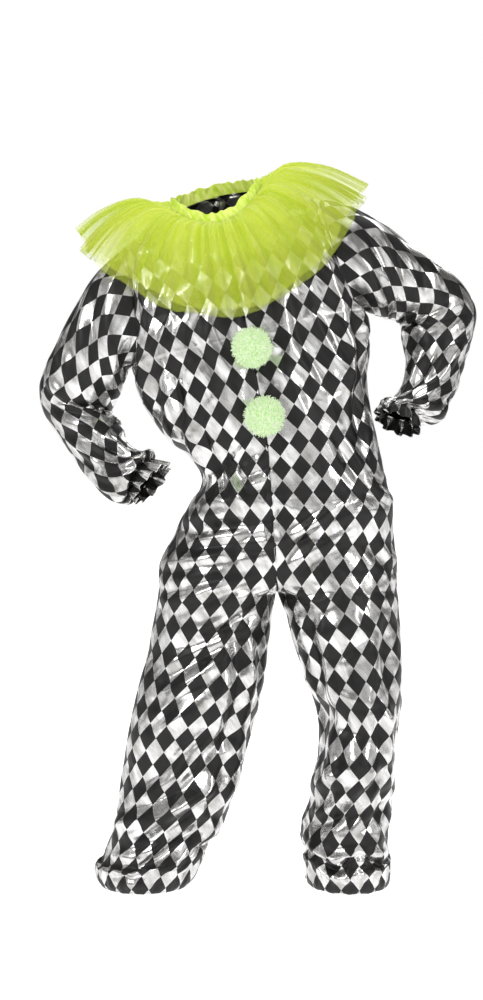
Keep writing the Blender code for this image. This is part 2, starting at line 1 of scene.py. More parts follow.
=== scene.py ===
# %% [markdown]
# # A clown costume, dressed in Blender
# The costume is a loose one-piece suit of black and silver diamonds, with a gathered collar of yellow-green
# net, a crinkled satin neck band and two fluffy pompoms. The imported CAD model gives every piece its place
# and its thickness. This script loads it as a fixed frame and builds finer cloth over each of its nodes.
# Right and left are the wearer's: the right side lies towards -X, the front faces -Y, and +Z is up.

import math

import bmesh
import bpy
import numpy as np
from mathutils import Matrix, Vector
from mathutils.kdtree import KDTree


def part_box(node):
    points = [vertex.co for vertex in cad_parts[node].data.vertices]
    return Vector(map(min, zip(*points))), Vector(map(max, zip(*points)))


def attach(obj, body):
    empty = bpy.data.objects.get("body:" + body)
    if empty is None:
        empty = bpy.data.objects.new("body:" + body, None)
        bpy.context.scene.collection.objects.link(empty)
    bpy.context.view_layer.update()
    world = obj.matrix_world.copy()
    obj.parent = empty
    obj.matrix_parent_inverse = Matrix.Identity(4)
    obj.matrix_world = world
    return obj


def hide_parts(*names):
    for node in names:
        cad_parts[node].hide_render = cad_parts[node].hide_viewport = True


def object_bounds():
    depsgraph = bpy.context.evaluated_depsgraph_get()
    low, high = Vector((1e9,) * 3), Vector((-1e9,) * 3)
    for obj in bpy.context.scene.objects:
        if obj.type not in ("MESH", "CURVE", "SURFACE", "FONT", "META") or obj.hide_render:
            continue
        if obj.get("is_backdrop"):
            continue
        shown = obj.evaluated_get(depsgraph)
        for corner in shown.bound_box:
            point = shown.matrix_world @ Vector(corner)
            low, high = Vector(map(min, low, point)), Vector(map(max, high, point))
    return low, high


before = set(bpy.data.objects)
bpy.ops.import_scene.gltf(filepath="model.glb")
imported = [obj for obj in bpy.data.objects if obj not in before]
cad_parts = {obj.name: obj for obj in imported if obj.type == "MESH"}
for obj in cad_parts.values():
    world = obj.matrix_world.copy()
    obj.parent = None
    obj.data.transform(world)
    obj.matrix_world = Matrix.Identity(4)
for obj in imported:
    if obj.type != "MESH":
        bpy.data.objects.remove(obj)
cad_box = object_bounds()
print("CAD nodes:", sorted(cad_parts))

# %% [markdown]
# ## The forms
# A cutter thinks of a suit as sections: how wide and how deep it is at the chest, the waist, the crotch, the
# knee and the hem. The tables below are those sections in millimetres, the same ones that shaped the CAD
# solids. A smooth curve through each column turns a few rows into a surface that can be read anywhere.

# %% Small helpers for reading tables
MM = 0.001
SIDES = {"right": -1, "left": 1}
FACES = {"front": -1, "back": 1}


def table(names, rows):
    """The rows as columns that are read by name."""
    return dict(zip(names.split(), np.array(rows, float).T))


def spline(values, at):
    """The values along the first axis as a smooth curve, read at row numbers."""
    last = len(values) - 1
    at = np.clip(at, 0, last)
    row = np.minimum(at.astype(int), last - 1)
    part = (at - row).reshape(at.shape + (1,) * (values.ndim - 1))
    before, first, second, after = (values[np.clip(row + step, 0, last)] for step in (-1, 0, 1, 2))
    bend = 3 * (first - second) + after - before
    turn = 2 * before - 5 * first + 4 * second - after
    return first + 0.5 * part * (second - before + part * (turn + part * bend))


def read(columns, at):
    """Every column of a table, read at row numbers."""
    return {name: spline(values, at) for name, values in columns.items()}


def smooth(value):
    value = np.clip(value, 0, 1)
    return value * value * (3 - 2 * value)


def mix(first, second, share):
    return first + (second - first) * share


def unit(vectors):
    return vectors / np.maximum(np.linalg.norm(vectors, axis=-1, keepdims=True), 1e-9)


# %% Sections of the body
TORSO = table("centre_x centre_z right_x right_z left_x left_z front back", [
    (68, -252, -160, -312, 303, -196, 122, 112),
    (80, -312, -137, -360, 298, -262, 124, 110),
    (91, -373, -109, -410, 300, -332, 123, 108),
    (100, -436, -62, -458, 314, -408, 121, 107),
    (106, -498, -28, -510, 332, -484, 118, 108),
    (110, -560, -44, -562, 347, -556, 118, 116),
    (114, -622, -80, -626, 355, -622, 117, 124),
    (118, -684, -104, -680, 359, -680, 115, 126),
    (121, -742, -113, -734, 361, -736, 111, 122),
])
print("body sections:", len(TORSO["front"]))

# %% Sections of the legs
LEG_COLUMNS = "inner_x inner_z outer_x outer_z y front back"
LEGS = {
    "right": table(LEG_COLUMNS, [
        (119, -742, -113, -734, 2, 112, 120),
        (110, -812, -122, -790, 0, 106, 110),
        (102, -872, -134, -852, -4, 102, 102),
        (92, -935, -150, -917, -8, 99, 96),
        (78, -995, -166, -982, -10, 96, 93),
        (62, -1055, -178, -1047, -9, 94, 92),
        (44, -1118, -189, -1112, -6, 92, 92),
        (26, -1172, -196, -1168, -2, 93, 94),
        (8, -1218, -207, -1216, 2, 97, 97),
        (-14, -1262, -229, -1264, 4, 101, 100),
        (-32, -1302, -242, -1306, 5, 102, 101),
        (-52, -1336, -231, -1338, 5, 88, 88),
        (-68, -1342, -216, -1344, 5, 74, 74),
    ]),
    "left": table(LEG_COLUMNS, [
        (123, -742, 361, -736, 2, 112, 120),
        (150, -812, 366, -800, 0, 112, 114),
        (168, -880, 368, -868, -4, 114, 112),
        (188, -938, 368, -930, -8, 117, 113),
        (203, -992, 366, -988, -10, 119, 115),
        (206, -1046, 360, -1044, -9, 119, 116),
        (199, -1100, 354, -1100, -6, 117, 114),
        (186, -1152, 352, -1152, -2, 112, 110),
        (173, -1204, 353, -1204, 2, 107, 106),
        (175, -1252, 351, -1252, 4, 104, 103),
        (176, -1298, 350, -1300, 5, 102, 101),
        (182, -1334, 346, -1336, 5, 90, 90),
        (194, -1342, 334, -1344, 5, 76, 76),
    ]),
}
print("leg sections:", len(LEGS["left"]["y"]))

# %% Sections of the sleeves
SLEEVE_COLUMNS = "outer_x outer_z inner_x inner_z y depth"
SLEEVES = {
    "right": table(SLEEVE_COLUMNS, [
        (-240, -118, -178, -302, 6, 76),
        (-288, -188, -187, -320, 16, 78),
        (-325, -254, -198, -342, 30, 78),
        (-351, -308, -208, -366, 46, 76),
        (-357, -348, -214, -384, 58, 74),
        (-347, -386, -205, -398, 50, 70),
        (-317, -430, -190, -420, 30, 66),
        (-282, -480, -180, -440, 4, 62),
        (-250, -522, -160, -456, -22, 61),
        (-214, -558, -138, -465, -44, 59),
        (-187, -572, -123, -471, -57, 52),
        (-165, -558, -127, -490, -64, 36),
        (-160, -564, -114, -495, -74, 42),
        (-153, -572, -93, -501, -84, 47),
    ]),
    "left": table(SLEEVE_COLUMNS, [
        (264, 20, 304, -184, 6, 76),
        (324, -2, 322, -189, 16, 78),
        (380, -42, 338, -193, 30, 78),
        (438, -78, 354, -197, 46, 76),
        (492, -116, 368, -203, 60, 74),
        (522, -167, 378, -213, 68, 73),
        (519, -221, 382, -237, 58, 69),
        (504, -278, 381, -282, 34, 64),
        (484, -336, 371, -326, 6, 61),
        (463, -374, 350, -356, -20, 60),
        (442, -403, 328, -373, -40, 54),
        (399, -405, 326, -384, -50, 37),
        (399, -419, 321, -391, -61, 44),
        (396, -437, 317, -400, -72, 49),
    ]),
}
print("sleeve sections:", len(SLEEVES["left"]["y"]))

# %% Profiles of the collar and the neck band
COLLAR_COLUMNS = "front_y front_z left_x left_z back_y back_z right_x right_z"
COLLARS = {
    "collar_upper": table(COLLAR_COLUMNS, [
        (122, -36, 158, 60, 124, 42, 152, 65),
        (146, -112, 234, 36, 150, -46, 226, 58),
        (158, -206, 302, -18, 160, -134, 288, 30),
    ]),
    "collar_lower": table(COLLAR_COLUMNS, [
        (113, -44, 156, 45, 114, 27, 152, 49),
        (133, -122, 230, 12, 138, -56, 222, 32),
        (143, -218, 294, -44, 148, -148, 284, -8),
    ]),
}
BAND = table(COLLAR_COLUMNS, [
    (77, -16.5, 95, 38, 77, 53.5, 86, 40),
    (76, -5, 93, 50, 75, 65.5, 83, 53),
])
print("collar layers:", list(COLLARS))

# %% [markdown]
# ## From sections to surfaces
# Each front and back is one piece of cloth from the shoulder to the hem. Its surface is read by two numbers:
# how far across it is from the centre to the side seam, and which row down. The top part leans, because one
# arm is held higher than the other, so it is worked out in a frame that leans with the shoulders.

# %% The leaning frame and the neckline
LEAN = math.radians(14.2)
YOKE_CENTRE = 4.0
NECK_HALF_WIDTH, NECK_HALF_DEPTH, NECK_SHIFT = 92.0, 78.0, 4.0
NECK_HEIGHT = {"front": -30.0, "side": 24.0, "back": 40.0}
NECK_SHARE = 0.27
TIP_DISTANCE, TIP_HEIGHT, RIDGE_DEPTH, SHOULDER_ARCH = 212.0, -26.0, 6.0, 3.0


def leaned(x, y, z):
    """Points of the leaning frame as points of the part."""
    return np.stack([x * math.cos(LEAN) - z * math.sin(LEAN), y, x * math.sin(LEAN) + z * math.cos(LEAN)], -1)


def upright(points):
    """Points of the part as x, y and z of the leaning frame."""
    x, y, z = points[..., 0], points[..., 1], points[..., 2]
    return x * math.cos(LEAN) + z * math.sin(LEAN), y, z * math.cos(LEAN) - x * math.sin(LEAN)


def top_edge(outward_sign, face, across):
    """The neckline and then the shoulder seam: distance from the centre, depth and height."""
    turn = np.clip(across / NECK_SHARE, 0, 1) * math.pi / 2
    along = np.clip((across - NECK_SHARE) / (1 - NECK_SHARE), 0, 1)
    distance = mix(NECK_HALF_WIDTH * np.sin(turn) + outward_sign * NECK_SHIFT, TIP_DISTANCE, along)
    depth = FACES[face] * NECK_HALF_DEPTH * np.cos(turn) + RIDGE_DEPTH * along
    height = mix(mix(NECK_HEIGHT["side"], NECK_HEIGHT[face], np.cos(turn) ** 2), TIP_HEIGHT, along)
    return distance, depth, height + SHOULDER_ARCH * np.sin(along * math.pi)


def neckline(around):
    """Points of the neckline: around 0 is the front, and runs to the left."""
    turn = np.abs(np.mod(around + 0.5, 1) - 0.5) * 4
    fore = np.where(turn <= 1, turn, 2 - turn) * NECK_SHARE
    side = np.where(np.mod(around, 1) < 0.5, 1, -1)
    ends = []
    for face in FACES:
        distance, depth, height = top_edge(side, face, fore)
        ends.append(leaned(YOKE_CENTRE + side * distance, depth, height))
    return np.where((turn <= 1)[..., None], ends[0], ends[1])


print("shoulders lean by", round(math.degrees(LEAN), 1), "degrees")

# %% The body and the legs
TORSO_ROUND, ROUNDER_FROM, ROUNDER_ROWS = 2.4, 3.5, 4
ARMHOLE_HEIGHT, ARMHOLE_DEPTH, ARMHOLE_HOLLOW, ARMHOLE_PULL = 222.0, 66.0, 12.0, 2.5
UNDERARM_DISTANCE, UNDERARM_ROW, YOKE_FULLNESS = 238.0, 10 / 11, 1.15
RISE_START, CROTCH, RISE_SQUARE, RISE_REACH, HEM = 7.0, 9.0, 3.0, 0.45, 20.0


def torso_points(side, face, across, row):
    """Points of the body from the centre line (across 0) to the side seam (across 1)."""
    at = read(TORSO, row)
    reach = np.sin(across * math.pi / 2) ** mix(2 / TORSO_ROUND, 2, smooth((row - ROUNDER_FROM) / ROUNDER_ROWS))
    depth = (1 - np.clip(reach, 0, 1) ** TORSO_ROUND) ** (1 / TORSO_ROUND)
    x = mix(at["centre_x"], at[side + "_x"], reach)
    z = mix(at["centre_z"], at[side + "_z"], reach)
    return np.stack([x, FACES[face] * at[face] * depth, z], -1)


def leg_points(side, face, across, row):
    """Points of a leg from the inseam (across 0) to the side seam (across 1)."""
    at = read(LEGS[side], row)
    reach = (1 - np.cos(across * math.pi)) / 2
    x = mix(at["inner_x"], at["outer_x"], reach)
    z = mix(at["inner_z"], at["outer_z"], reach)
    return np.stack([x, at["y"] + FACES[face] * at[face] * np.sin(across * math.pi), z], -1)


def yoke_points(side, face, across, row):
    """Points from the neckline and shoulder seam (row 0) down to the chest (row 1)."""
    part = np.clip(row / UNDERARM_ROW, 0, 1)
    below = np.clip((row - UNDERARM_ROW) / (1 - UNDERARM_ROW), 0, 1)
    chest_x, chest_y, chest_z = upright(torso_points(side, face, across, np.zeros_like(row)))
    side_z = upright(torso_points(side, face, np.ones_like(across), np.zeros_like(row)))[2]
    edge = mix(TIP_DISTANCE, UNDERARM_DISTANCE, part**2) - ARMHOLE_HOLLOW * np.sin(part * math.pi)
    edge_height = TIP_HEIGHT - ARMHOLE_HEIGHT * (1 - np.cos(part * math.pi)) / 2
    drop = np.clip((edge_height - side_z) / (TIP_HEIGHT - side_z), 0, 1)
    turn = mix(np.arccos(drop), math.pi / 2, below)
    distance, depth, height = top_edge(SIDES[side], face, across)
    chest_distance = SIDES[side] * (chest_x - YOKE_CENTRE)
    y = mix(depth, chest_y, np.sin(turn) ** YOKE_FULLNESS)
    z = mix(chest_z, height, np.cos(turn))
    pull = across**ARMHOLE_PULL * (1 - below)
    line = mix(TIP_DISTANCE, chest_distance, 1 - np.cos(turn))
    distance = mix(distance, chest_distance, 1 - np.cos(turn)) + pull * (edge - line)
    y = y + pull * FACES[face] * ARMHOLE_DEPTH * np.sin(part * math.pi)
    return leaned(YOKE_CENTRE + SIDES[side] * distance, y, z)


def body_points(side, face, across, row):
    """A front or a back: rows 0 to 1 are the yoke, 1 to the crotch the body, and then the leg."""
    torso_row = np.clip(row, 1, CROTCH) - 1
    leg_row = np.clip(row, CROTCH, None) - CROTCH
    rise = np.clip((row - RISE_START) / (CROTCH - RISE_START), 0, 1)
    at_centre = 1 - (1 - rise**RISE_SQUARE) ** (1 / RISE_SQUARE)
    onto_leg = mix(at_centre, smooth(rise), smooth(across / RISE_REACH))
    body = torso_points(side, face, across, torso_row)
    leg = leg_points(side, face, across, leg_row)
    body[..., :2] = mix(body[..., :2], leg[..., :2], onto_leg[..., None])
    body = np.where((row > CROTCH)[..., None], leg, body)
    return np.where((row < 1)[..., None], yoke_points(side, face, across, np.clip(row, 0, 1)), body)


# %% The sleeves
SLEEVE_TILT, WRIST, FRILL_EDGE = 0.5, 12.0, 14.0


def sleeve_ring(columns, around):
    """The rings of a sleeve table, each square to the run of their middles; around is 0 at the top."""
    outer = np.stack([columns["outer_x"], columns["y"], columns["outer_z"]], -1)
    inner = np.stack([columns["inner_x"], columns["y"], columns["inner_z"]], -1)
    middle, half = (outer + inner) / 2, (outer - inner) / 2
    run = np.gradient(middle, axis=0) * [1, SLEEVE_TILT, 1]
    deep = np.cross(run, half)
    deep *= (columns["depth"] / np.linalg.norm(deep, axis=1) * -np.sign(deep[:, 1]))[:, None]
    ahead, aside = np.cos(around)[..., None], np.sin(around)[..., None]
    return middle[:, None] + half[:, None] * ahead + deep[:, None] * aside


def sleeve_points(side, around, row):
    """A sleeve and its frill: row 0 is the armhole, and the elastic is at the row of the wrist."""
    rings = sleeve_ring(SLEEVES[side], around[:1] * 2 * math.pi)
    edge_row = 2 * np.minimum(around[:1], 1 - around[:1]) * UNDERARM_ROW
    front, back = (body_points(side, face, np.ones_like(edge_row), edge_row) for face in FACES)
    armhole = np.where((around[:1] < 0.5)[..., None], front, back)
    return spline(np.concatenate([armhole, rings]), row[:, 0])


# %% The collar and the band
NET_SEAM = {"collar_upper": (2.8, 5.9), "collar_lower": (2.5, 4.0)}
BAND_SEAM = 1.2


def ring_points(columns, around, row):
    """Points of a ring that hangs round the neck: around 0 is the front, and runs to the left."""
    at = read(columns, row)
    ahead, aside = np.cos(around * 2 * math.pi), np.sin(around * 2 * math.pi)
    x = YOKE_CENTRE + aside * np.where(aside > 0, at["left_x"], at["right_x"])
    y = -ahead * np.where(ahead > 0, at["front_y"], at["back_y"])
    side_height = np.where(aside > 0, at["left_z"], at["right_z"])
    return leaned(x, y, mix(side_height, np.where(ahead > 0, at["front_z"], at["back_z"]), ahead**2))


def from_neckline(columns, around, row, beside, above):
    """A ring of the neck that starts a little beside and above the neckline, where it is sewn."""
    profile = np.stack([ring_points(columns, around[:1], np.full_like(around[:1], step))[0]
                        for step in range(len(columns["front_y"]))])
    seam = neckline(around[:1])
    up = leaned(0, 0, 1)
    aside = unit(seam - seam.mean(axis=1, keepdims=True))
    aside = unit(aside - up * (aside @ up)[..., None])
    return spline(np.concatenate([seam + aside * beside + up * above, profile]), row[:, 0])


# %% [markdown]
# ## Grids of cloth
# Every cloth piece starts as a flat grid, and each of its points is moved to its place on the surface, as a
# flat piece of cloth is. The grid's UV map keeps the flat cloth's own sizes in metres, so that the printed
# diamonds stay 38 mm wide and 54 mm tall, and run with the grain of each piece.

# %% A grid, its points and its UV map
def make_grid(columns, rows):
    """A flat grid, with the share across and down of each of its points as two-dimensional arrays."""
    built = bmesh.new()
    bmesh.ops.create_grid(built, x_segments=columns, y_segments=rows, size=0.5)
    built.verts.ensure_lookup_table()
    share = np.array([vert.co[:2] for vert in built.verts]) + 0.5
    share = share.reshape(rows + 1, columns + 1, 2)
    return built, share[..., 0], share[..., 1]


def lay(built, points, flat):
    """Moves the grid's points onto the form, and keeps where each lies on the flat cloth as its UV."""
    for vert, point in zip(built.verts, points.reshape(-1, 3) * MM):
        vert.co = point
    cloth = built.loops.layers.uv.new("cloth")
    places = (flat * MM).reshape(-1, 2)
    for face in built.faces:
        for loop in face.loops:
            loop[cloth].uv = places[loop.vert.index]


def add_object(name, data):
    """A new object in the scene."""
    made = bpy.data.objects.new(name, data)
    bpy.context.scene.collection.objects.link(made)
    return made


def add_mesh(name, built, rounded=True):
    """A new object from a bmesh, which is freed."""
    mesh = bpy.data.meshes.new(name)
    built.to_mesh(mesh)
    built.free()
    if rounded:
        mesh.shade_smooth()
    return add_object(name, mesh)


def ring_middles(points):
    """The middle of each row of a tube, whose last column repeats its first."""
    return points[:, :-1].mean(axis=1, keepdims=True)


def lengths(points, axis):
    """Distance along the points of an array, from its start."""
    step = np.linalg.norm(np.diff(points, axis=axis), axis=-1)
    start = np.zeros_like(np.take(step, [0], axis=axis))
    return np.concatenate([start, np.cumsum(step, axis=axis)], axis=axis)


def grid_normals(points, closed=False):
    """Unit vectors square to the surface of a grid of points."""
    if closed:
        wide = np.roll(points[:, :-1], -1, axis=1) - np.roll(points[:, :-1], 1, axis=1)
        wide = np.concatenate([wide, wide[:, :1]], axis=1)
    else:
        wide = np.gradient(points, axis=1)
    return unit(np.cross(np.gradient(points, axis=0), wide))


def sway(turn, count, bend, bends, start=0.0, slant=0.0):
    """Waves round a ring, unevenly spaced: a number of them, bent a number of times on the way round."""
    return np.sin(count * turn + bend * np.sin(bends * turn + start) + slant)


trial, _, down = make_grid(4, 3)
print("a 4 by 3 grid has", len(trial.verts), "points; the first row is at", down[0])
trial.free()

# %% [markdown]
# ## Folds
# Loose cloth that is held in at the waist, the wrists and the hems falls into soft folds. Each is placed as a
# ridge or a trough between two points, as uneven as on the real suit, and fades at its ends.

# %% Tables of the main folds
FOLD_COLUMNS = "from_x from_z to_x to_z width height"
FOLDS = {
    "front": table(FOLD_COLUMNS, [
        (-150, -300, -20, -470, 34, -15), (-100, -300, 20, -500, 30, 11), (-40, -520, 80, -470, 30, 13),
        (-50, -575, 90, -545, 28, -13), (-80, -640, 95, -610, 30, 13), (290, -200, 240, -340, 34, -15),
        (295, -300, 250, -480, 30, 13), (340, -560, 180, -600, 32, -14), (350, -650, 170, -650, 30, 11),
        (-100, -870, 90, -780, 32, 14), (-120, -1010, 60, -900, 34, -14), (-170, -1130, 40, -1000, 32, 14),
        (-190, -1220, 20, -1110, 30, -14), (-215, -1280, -10, -1190, 30, 14), (165, -830, 290, -790, 32, -14),
        (190, -970, 310, -1020, 32, 14), (190, -1110, 320, -1060, 30, -14), (180, -1190, 340, -1160, 28, 14),
        (180, -1240, 258, -1264, 24, -12), (262, -1262, 345, -1236, 24, -11),
    ]),
    "back": table(FOLD_COLUMNS, [
        (-150, -310, 60, -470, 34, -15), (290, -210, 150, -420, 34, -15), (-40, -540, 150, -500, 32, 17),
        (-60, -600, 330, -570, 30, -14), (-95, -700, 90, -660, 34, -13), (350, -700, 150, -660, 34, -13),
        (-120, -850, 90, -800, 32, 14), (-150, -1000, 70, -950, 34, -14), (-185, -1150, 30, -1090, 32, 14),
        (-215, -1250, 0, -1220, 28, -13), (160, -850, 360, -830, 32, 14), (200, -1000, 360, -970, 34, -14),
        (185, -1160, 350, -1120, 32, 14), (180, -1250, 350, -1230, 28, -13),
    ]),
}
print("broad folds placed by hand:", sum(len(folds["width"]) for folds in FOLDS.values()))

# %% Tables of the creases on the front
LINES = {"front": table(FOLD_COLUMNS, [
    (-65, -618, 69, -596, 10, 5), (-48, -634, 112, -612, 9, -4), (27, -655, 118, -650, 8, 4),
    (-90, -700, 40, -672, 10, 4), (-100, -760, 20, -720, 11, -5), (-20, -750, 100, -715, 9, 4),
    (-75, -853, 75, -784, 11, 6), (-102, -902, 37, -821, 12, 6), (-22, -853, 102, -784, 9, -5),
    (-60, -880, 60, -815, 8, 4), (-110, -940, 0, -880, 10, -4), (48, -789, 37, -950, 12, 6),
    (37, -950, 16, -1094, 12, 7), (16, -1094, -16, -1164, 11, 6), (70, -840, 62, -960, 9, -4),
    (-54, -1105, 27, -1014, 10, 6), (-90, -1090, 10, -1000, 9, -4), (-145, -1164, 5, -1073, 12, 7),
    (-120, -1190, 0, -1110, 9, -5), (-172, -1244, -27, -1143, 12, 7), (-193, -1223, -113, -1175, 10, 5),
    (-118, -1298, 5, -1202, 12, -7), (-180, -1290, -90, -1250, 10, 5), (-200, -1262, -130, -1232, 9, -4),
    (-60, -1310, 0, -1262, 10, 6), (-205, -1310, -120, -1300, 9, 5), (-120, -1000, -70, -950, 9, 4),
    (123, -661, 262, -586, 10, 5), (134, -687, 284, -607, 9, -5), (160, -640, 250, -570, 8, 4),
    (128, -741, 198, -773, 9, 5), (144, -768, 230, -746, 8, -4), (150, -800, 205, -770, 9, -5),
    (187, -784, 198, -864, 10, 6), (198, -864, 209, -961, 10, 7), (209, -961, 219, -1068, 10, 6),
    (215, -1000, 235, -1110, 9, -5), (330, -800, 340, -960, 12, 6), (338, -960, 330, -1120, 12, -6),
    (316, -900, 322, -1040, 9, 4), (320, -1060, 338, -1228, 11, 6), (257, -1164, 337, -1073, 10, 6),
    (273, -1196, 343, -1132, 9, -5), (200, -1150, 262, -1090, 10, 5), (190, -1200, 250, -1170, 10, 6),
    (190, -1254, 232, -1284, 10, 6), (236, -1286, 282, -1256, 10, 6), (286, -1256, 340, -1284, 10, 5),
    (200, -1296, 262, -1310, 9, -5), (255, -1306, 330, -1292, 9, -4), (240, -860, 300, -820, 9, 3),
    (-132, -275, -90, -390, 11, 5), (-112, -300, -58, -440, 11, -5), (-85, -320, -44, -489, 11, 6),
    (-60, -400, -10, -520, 10, -5), (-30, -430, 20, -540, 9, 5), (0, -470, 60, -560, 9, -4),
    (48, -516, 113, -482, 9, 5), (20, -500, 70, -440, 8, -4), (55, -540, 110, -530, 8, 4),
    (266, -156, 289, -409, 11, 6), (186, -194, 247, -305, 10, -5), (274, -305, 293, -466, 10, 5),
    (250, -200, 262, -330, 9, -5), (300, -240, 300, -380, 10, 5), (150, -220, 215, -330, 10, 4),
    (110, -250, 180, -400, 12, -3), (230, -430, 285, -520, 9, 5), (212, -592, 274, -558, 8, 4),
    (290, -520, 345, -560, 9, -4), (300, -640, 350, -700, 10, 5), (-40, -250, 20, -330, 11, 3),
])}
print("creases placed by hand on the front:", len(LINES["front"]["width"]))

# %% The same on the back
LINES["back"] = table(FOLD_COLUMNS, [
    (-140, -280, -70, -420, 11, 5), (-110, -330, -30, -480, 11, -5), (-60, -380, 30, -500, 10, 5),
    (285, -190, 240, -350, 11, 5), (300, -260, 262, -420, 10, -5), (240, -220, 180, -380, 10, 4),
    (20, -240, 60, -400, 12, 4), (120, -200, 130, -360, 12, -4), (-20, -560, 110, -530, 9, 5),
    (-50, -590, 60, -575, 9, -4), (130, -540, 300, -560, 10, 5), (160, -590, 320, -600, 9, -4),
    (-90, -720, 40, -680, 10, 5), (-60, -760, 100, -715, 9, -5), (340, -690, 200, -720, 10, 5),
    (330, -760, 170, -740, 9, -4), (-100, -840, 60, -790, 11, 6), (-110, -900, 40, -850, 10, -5),
    (60, -830, 40, -990, 11, 6), (-130, -980, 20, -920, 10, 5), (-100, -1060, 40, -980, 11, 6),
    (-150, -1110, 10, -1040, 10, -5), (-160, -1180, 0, -1110, 12, 6), (-190, -1240, -40, -1180, 11, -6),
    (-190, -1290, -60, -1250, 10, 6), (160, -830, 300, -800, 10, 5), (190, -890, 210, -1030, 10, 6),
    (340, -840, 335, -1010, 11, 6), (230, -940, 330, -900, 9, -4), (220, -1080, 330, -1020, 10, 5),
    (200, -1140, 330, -1090, 10, -6), (195, -1200, 340, -1170, 11, 6), (200, -1260, 330, -1245, 10, 6),
    (210, -1300, 320, -1290, 9, -5),
])
print("creases placed by hand on the back:", len(LINES["back"]["width"]))

# %% Folds and creases of the sleeves
SLEEVE_GIRTH, SLEEVE_ROW = 450.0, 38.0
ALONG_SLEEVE = "from_across from_down to_across to_down width height"
SLEEVE_FOLDS = table(ALONG_SLEEVE, [
    (60, 40, 190, 150, 26, -9),
    (150, 30, 215, 130, 24, 8),
    (130, 200, 320, 200, 34, -8),
    (130, 262, 320, 262, 30, 7),
    (100, 300, 200, 390, 24, -8),
    (260, 300, 350, 390, 24, -8),
    (20, 250, 110, 300, 26, 8),
])
SLEEVE_LINES = table(ALONG_SLEEVE, [
    (40, 60, 120, 110, 10, 4), (70, 90, 150, 150, 9, -4), (150, 60, 215, 150, 10, 5),
    (175, 90, 225, 180, 9, -4), (20, 130, 90, 170, 10, 4), (150, 170, 215, 205, 9, -5),
    (140, 200, 220, 215, 9, 5), (140, 240, 215, 228, 9, -5), (60, 210, 150, 240, 10, 4),
    (30, 260, 100, 300, 10, -4), (60, 300, 120, 380, 9, 4), (110, 290, 170, 370, 9, -5),
    (150, 300, 205, 390, 9, 4), (90, 340, 140, 430, 8, -4), (30, 330, 70, 430, 9, 5),
    (180, 330, 215, 430, 8, -4), (260, 80, 330, 150, 10, 4), (300, 120, 370, 200, 10, -5),
    (250, 220, 330, 240, 9, 5), (300, 270, 380, 300, 9, -4), (260, 320, 300, 420, 9, 4),
    (340, 330, 380, 420, 9, -5),
])


FOLD_ENDS = 0.06


def fold_lift(flat, folds):
    """How far the folds of a table lift each point of the cloth off the plain form."""
    lift = np.zeros(flat.shape[:-1])
    ends = [name[5:] for name in folds if name.startswith("from_")]
    starts = np.stack([folds["from_" + name] for name in ends], -1)
    stops = np.stack([folds["to_" + name] for name in ends], -1)
    for start, stop, width, height in zip(starts, stops, folds["width"], folds["height"]):
        line = stop - start
        along = np.clip((flat - start) @ line / (line @ line), 0, 1)
        away = np.linalg.norm(flat - start - along[..., None] * line, axis=-1)
        rise = height * np.sqrt(np.sin(math.pi * mix(FOLD_ENDS, 1 - FOLD_ENDS, along)))
        lift += rise * np.exp(-((away / width) ** 2))
    return lift


# A crease and its followers: offset in widths, share of its height, and how much of each end is cut.
CREASE_SCALE, FOLLOWERS = 1.45, ((0, 1, 0), (1.9, -0.6, 0.1), (-2.1, -0.4, 0.16), (3.7, 0.3, 0.22))


def with_followers(lines):
    """Each crease with fainter ones beside it, as cloth under tension shows them."""
    keys = list(lines)
    start, stop = (np.stack([lines[first], lines[second]], -1) for first, second in (keys[:2], keys[2:4]))
    beside = unit((stop - start) @ [[0, 1], [-1, 0]]) * lines["width"][:, None]
    rows = []
    for offset, share, cut in FOLLOWERS:
        ends = [mix(start, stop, cut) + beside * offset, mix(stop, start, cut) + beside * offset]
        rows.append(np.column_stack([*ends, lines["width"], lines["height"] * share * CREASE_SCALE]))
    return dict(zip(keys, np.concatenate(rows).T))


placed = sum(len(lines["width"]) for lines in (*LINES.values(), SLEEVE_LINES))
print("creases with the fainter ones:", placed * len(FOLLOWERS))

# %% [markdown]
# ## The suit's pieces
# The fronts, backs and sleeves are first made as open sheets. Fronts and backs share their rows at the side
# seams, and a sleeve has a point for each row of the armhole, so that the sheets can be sewn into one cloth
# for the simulation below.

# %% Fronts and backs
ARMHOLE_ROWS = 30
PANEL_ACROSS = np.concatenate([[0, 0.012, 0.03], np.linspace(0.055, 0.945, 41), [0.97, 0.988, 1]])
PANEL_ROWS = np.concatenate([
    np.linspace(0, UNDERARM_ROW, ARMHOLE_ROWS + 1),
    np.linspace(UNDERARM_ROW, 1, 4)[1:],
    np.linspace(1, RISE_START, 50)[1:],
    np.linspace(RISE_START, CROTCH, 20)[1:],
    np.linspace(CROTCH, HEM, 80)[1:],
])


PRINT_SHIFT = {"right": 14.0, "left": -5.0}
DRAWN_IN_ROWS = 2


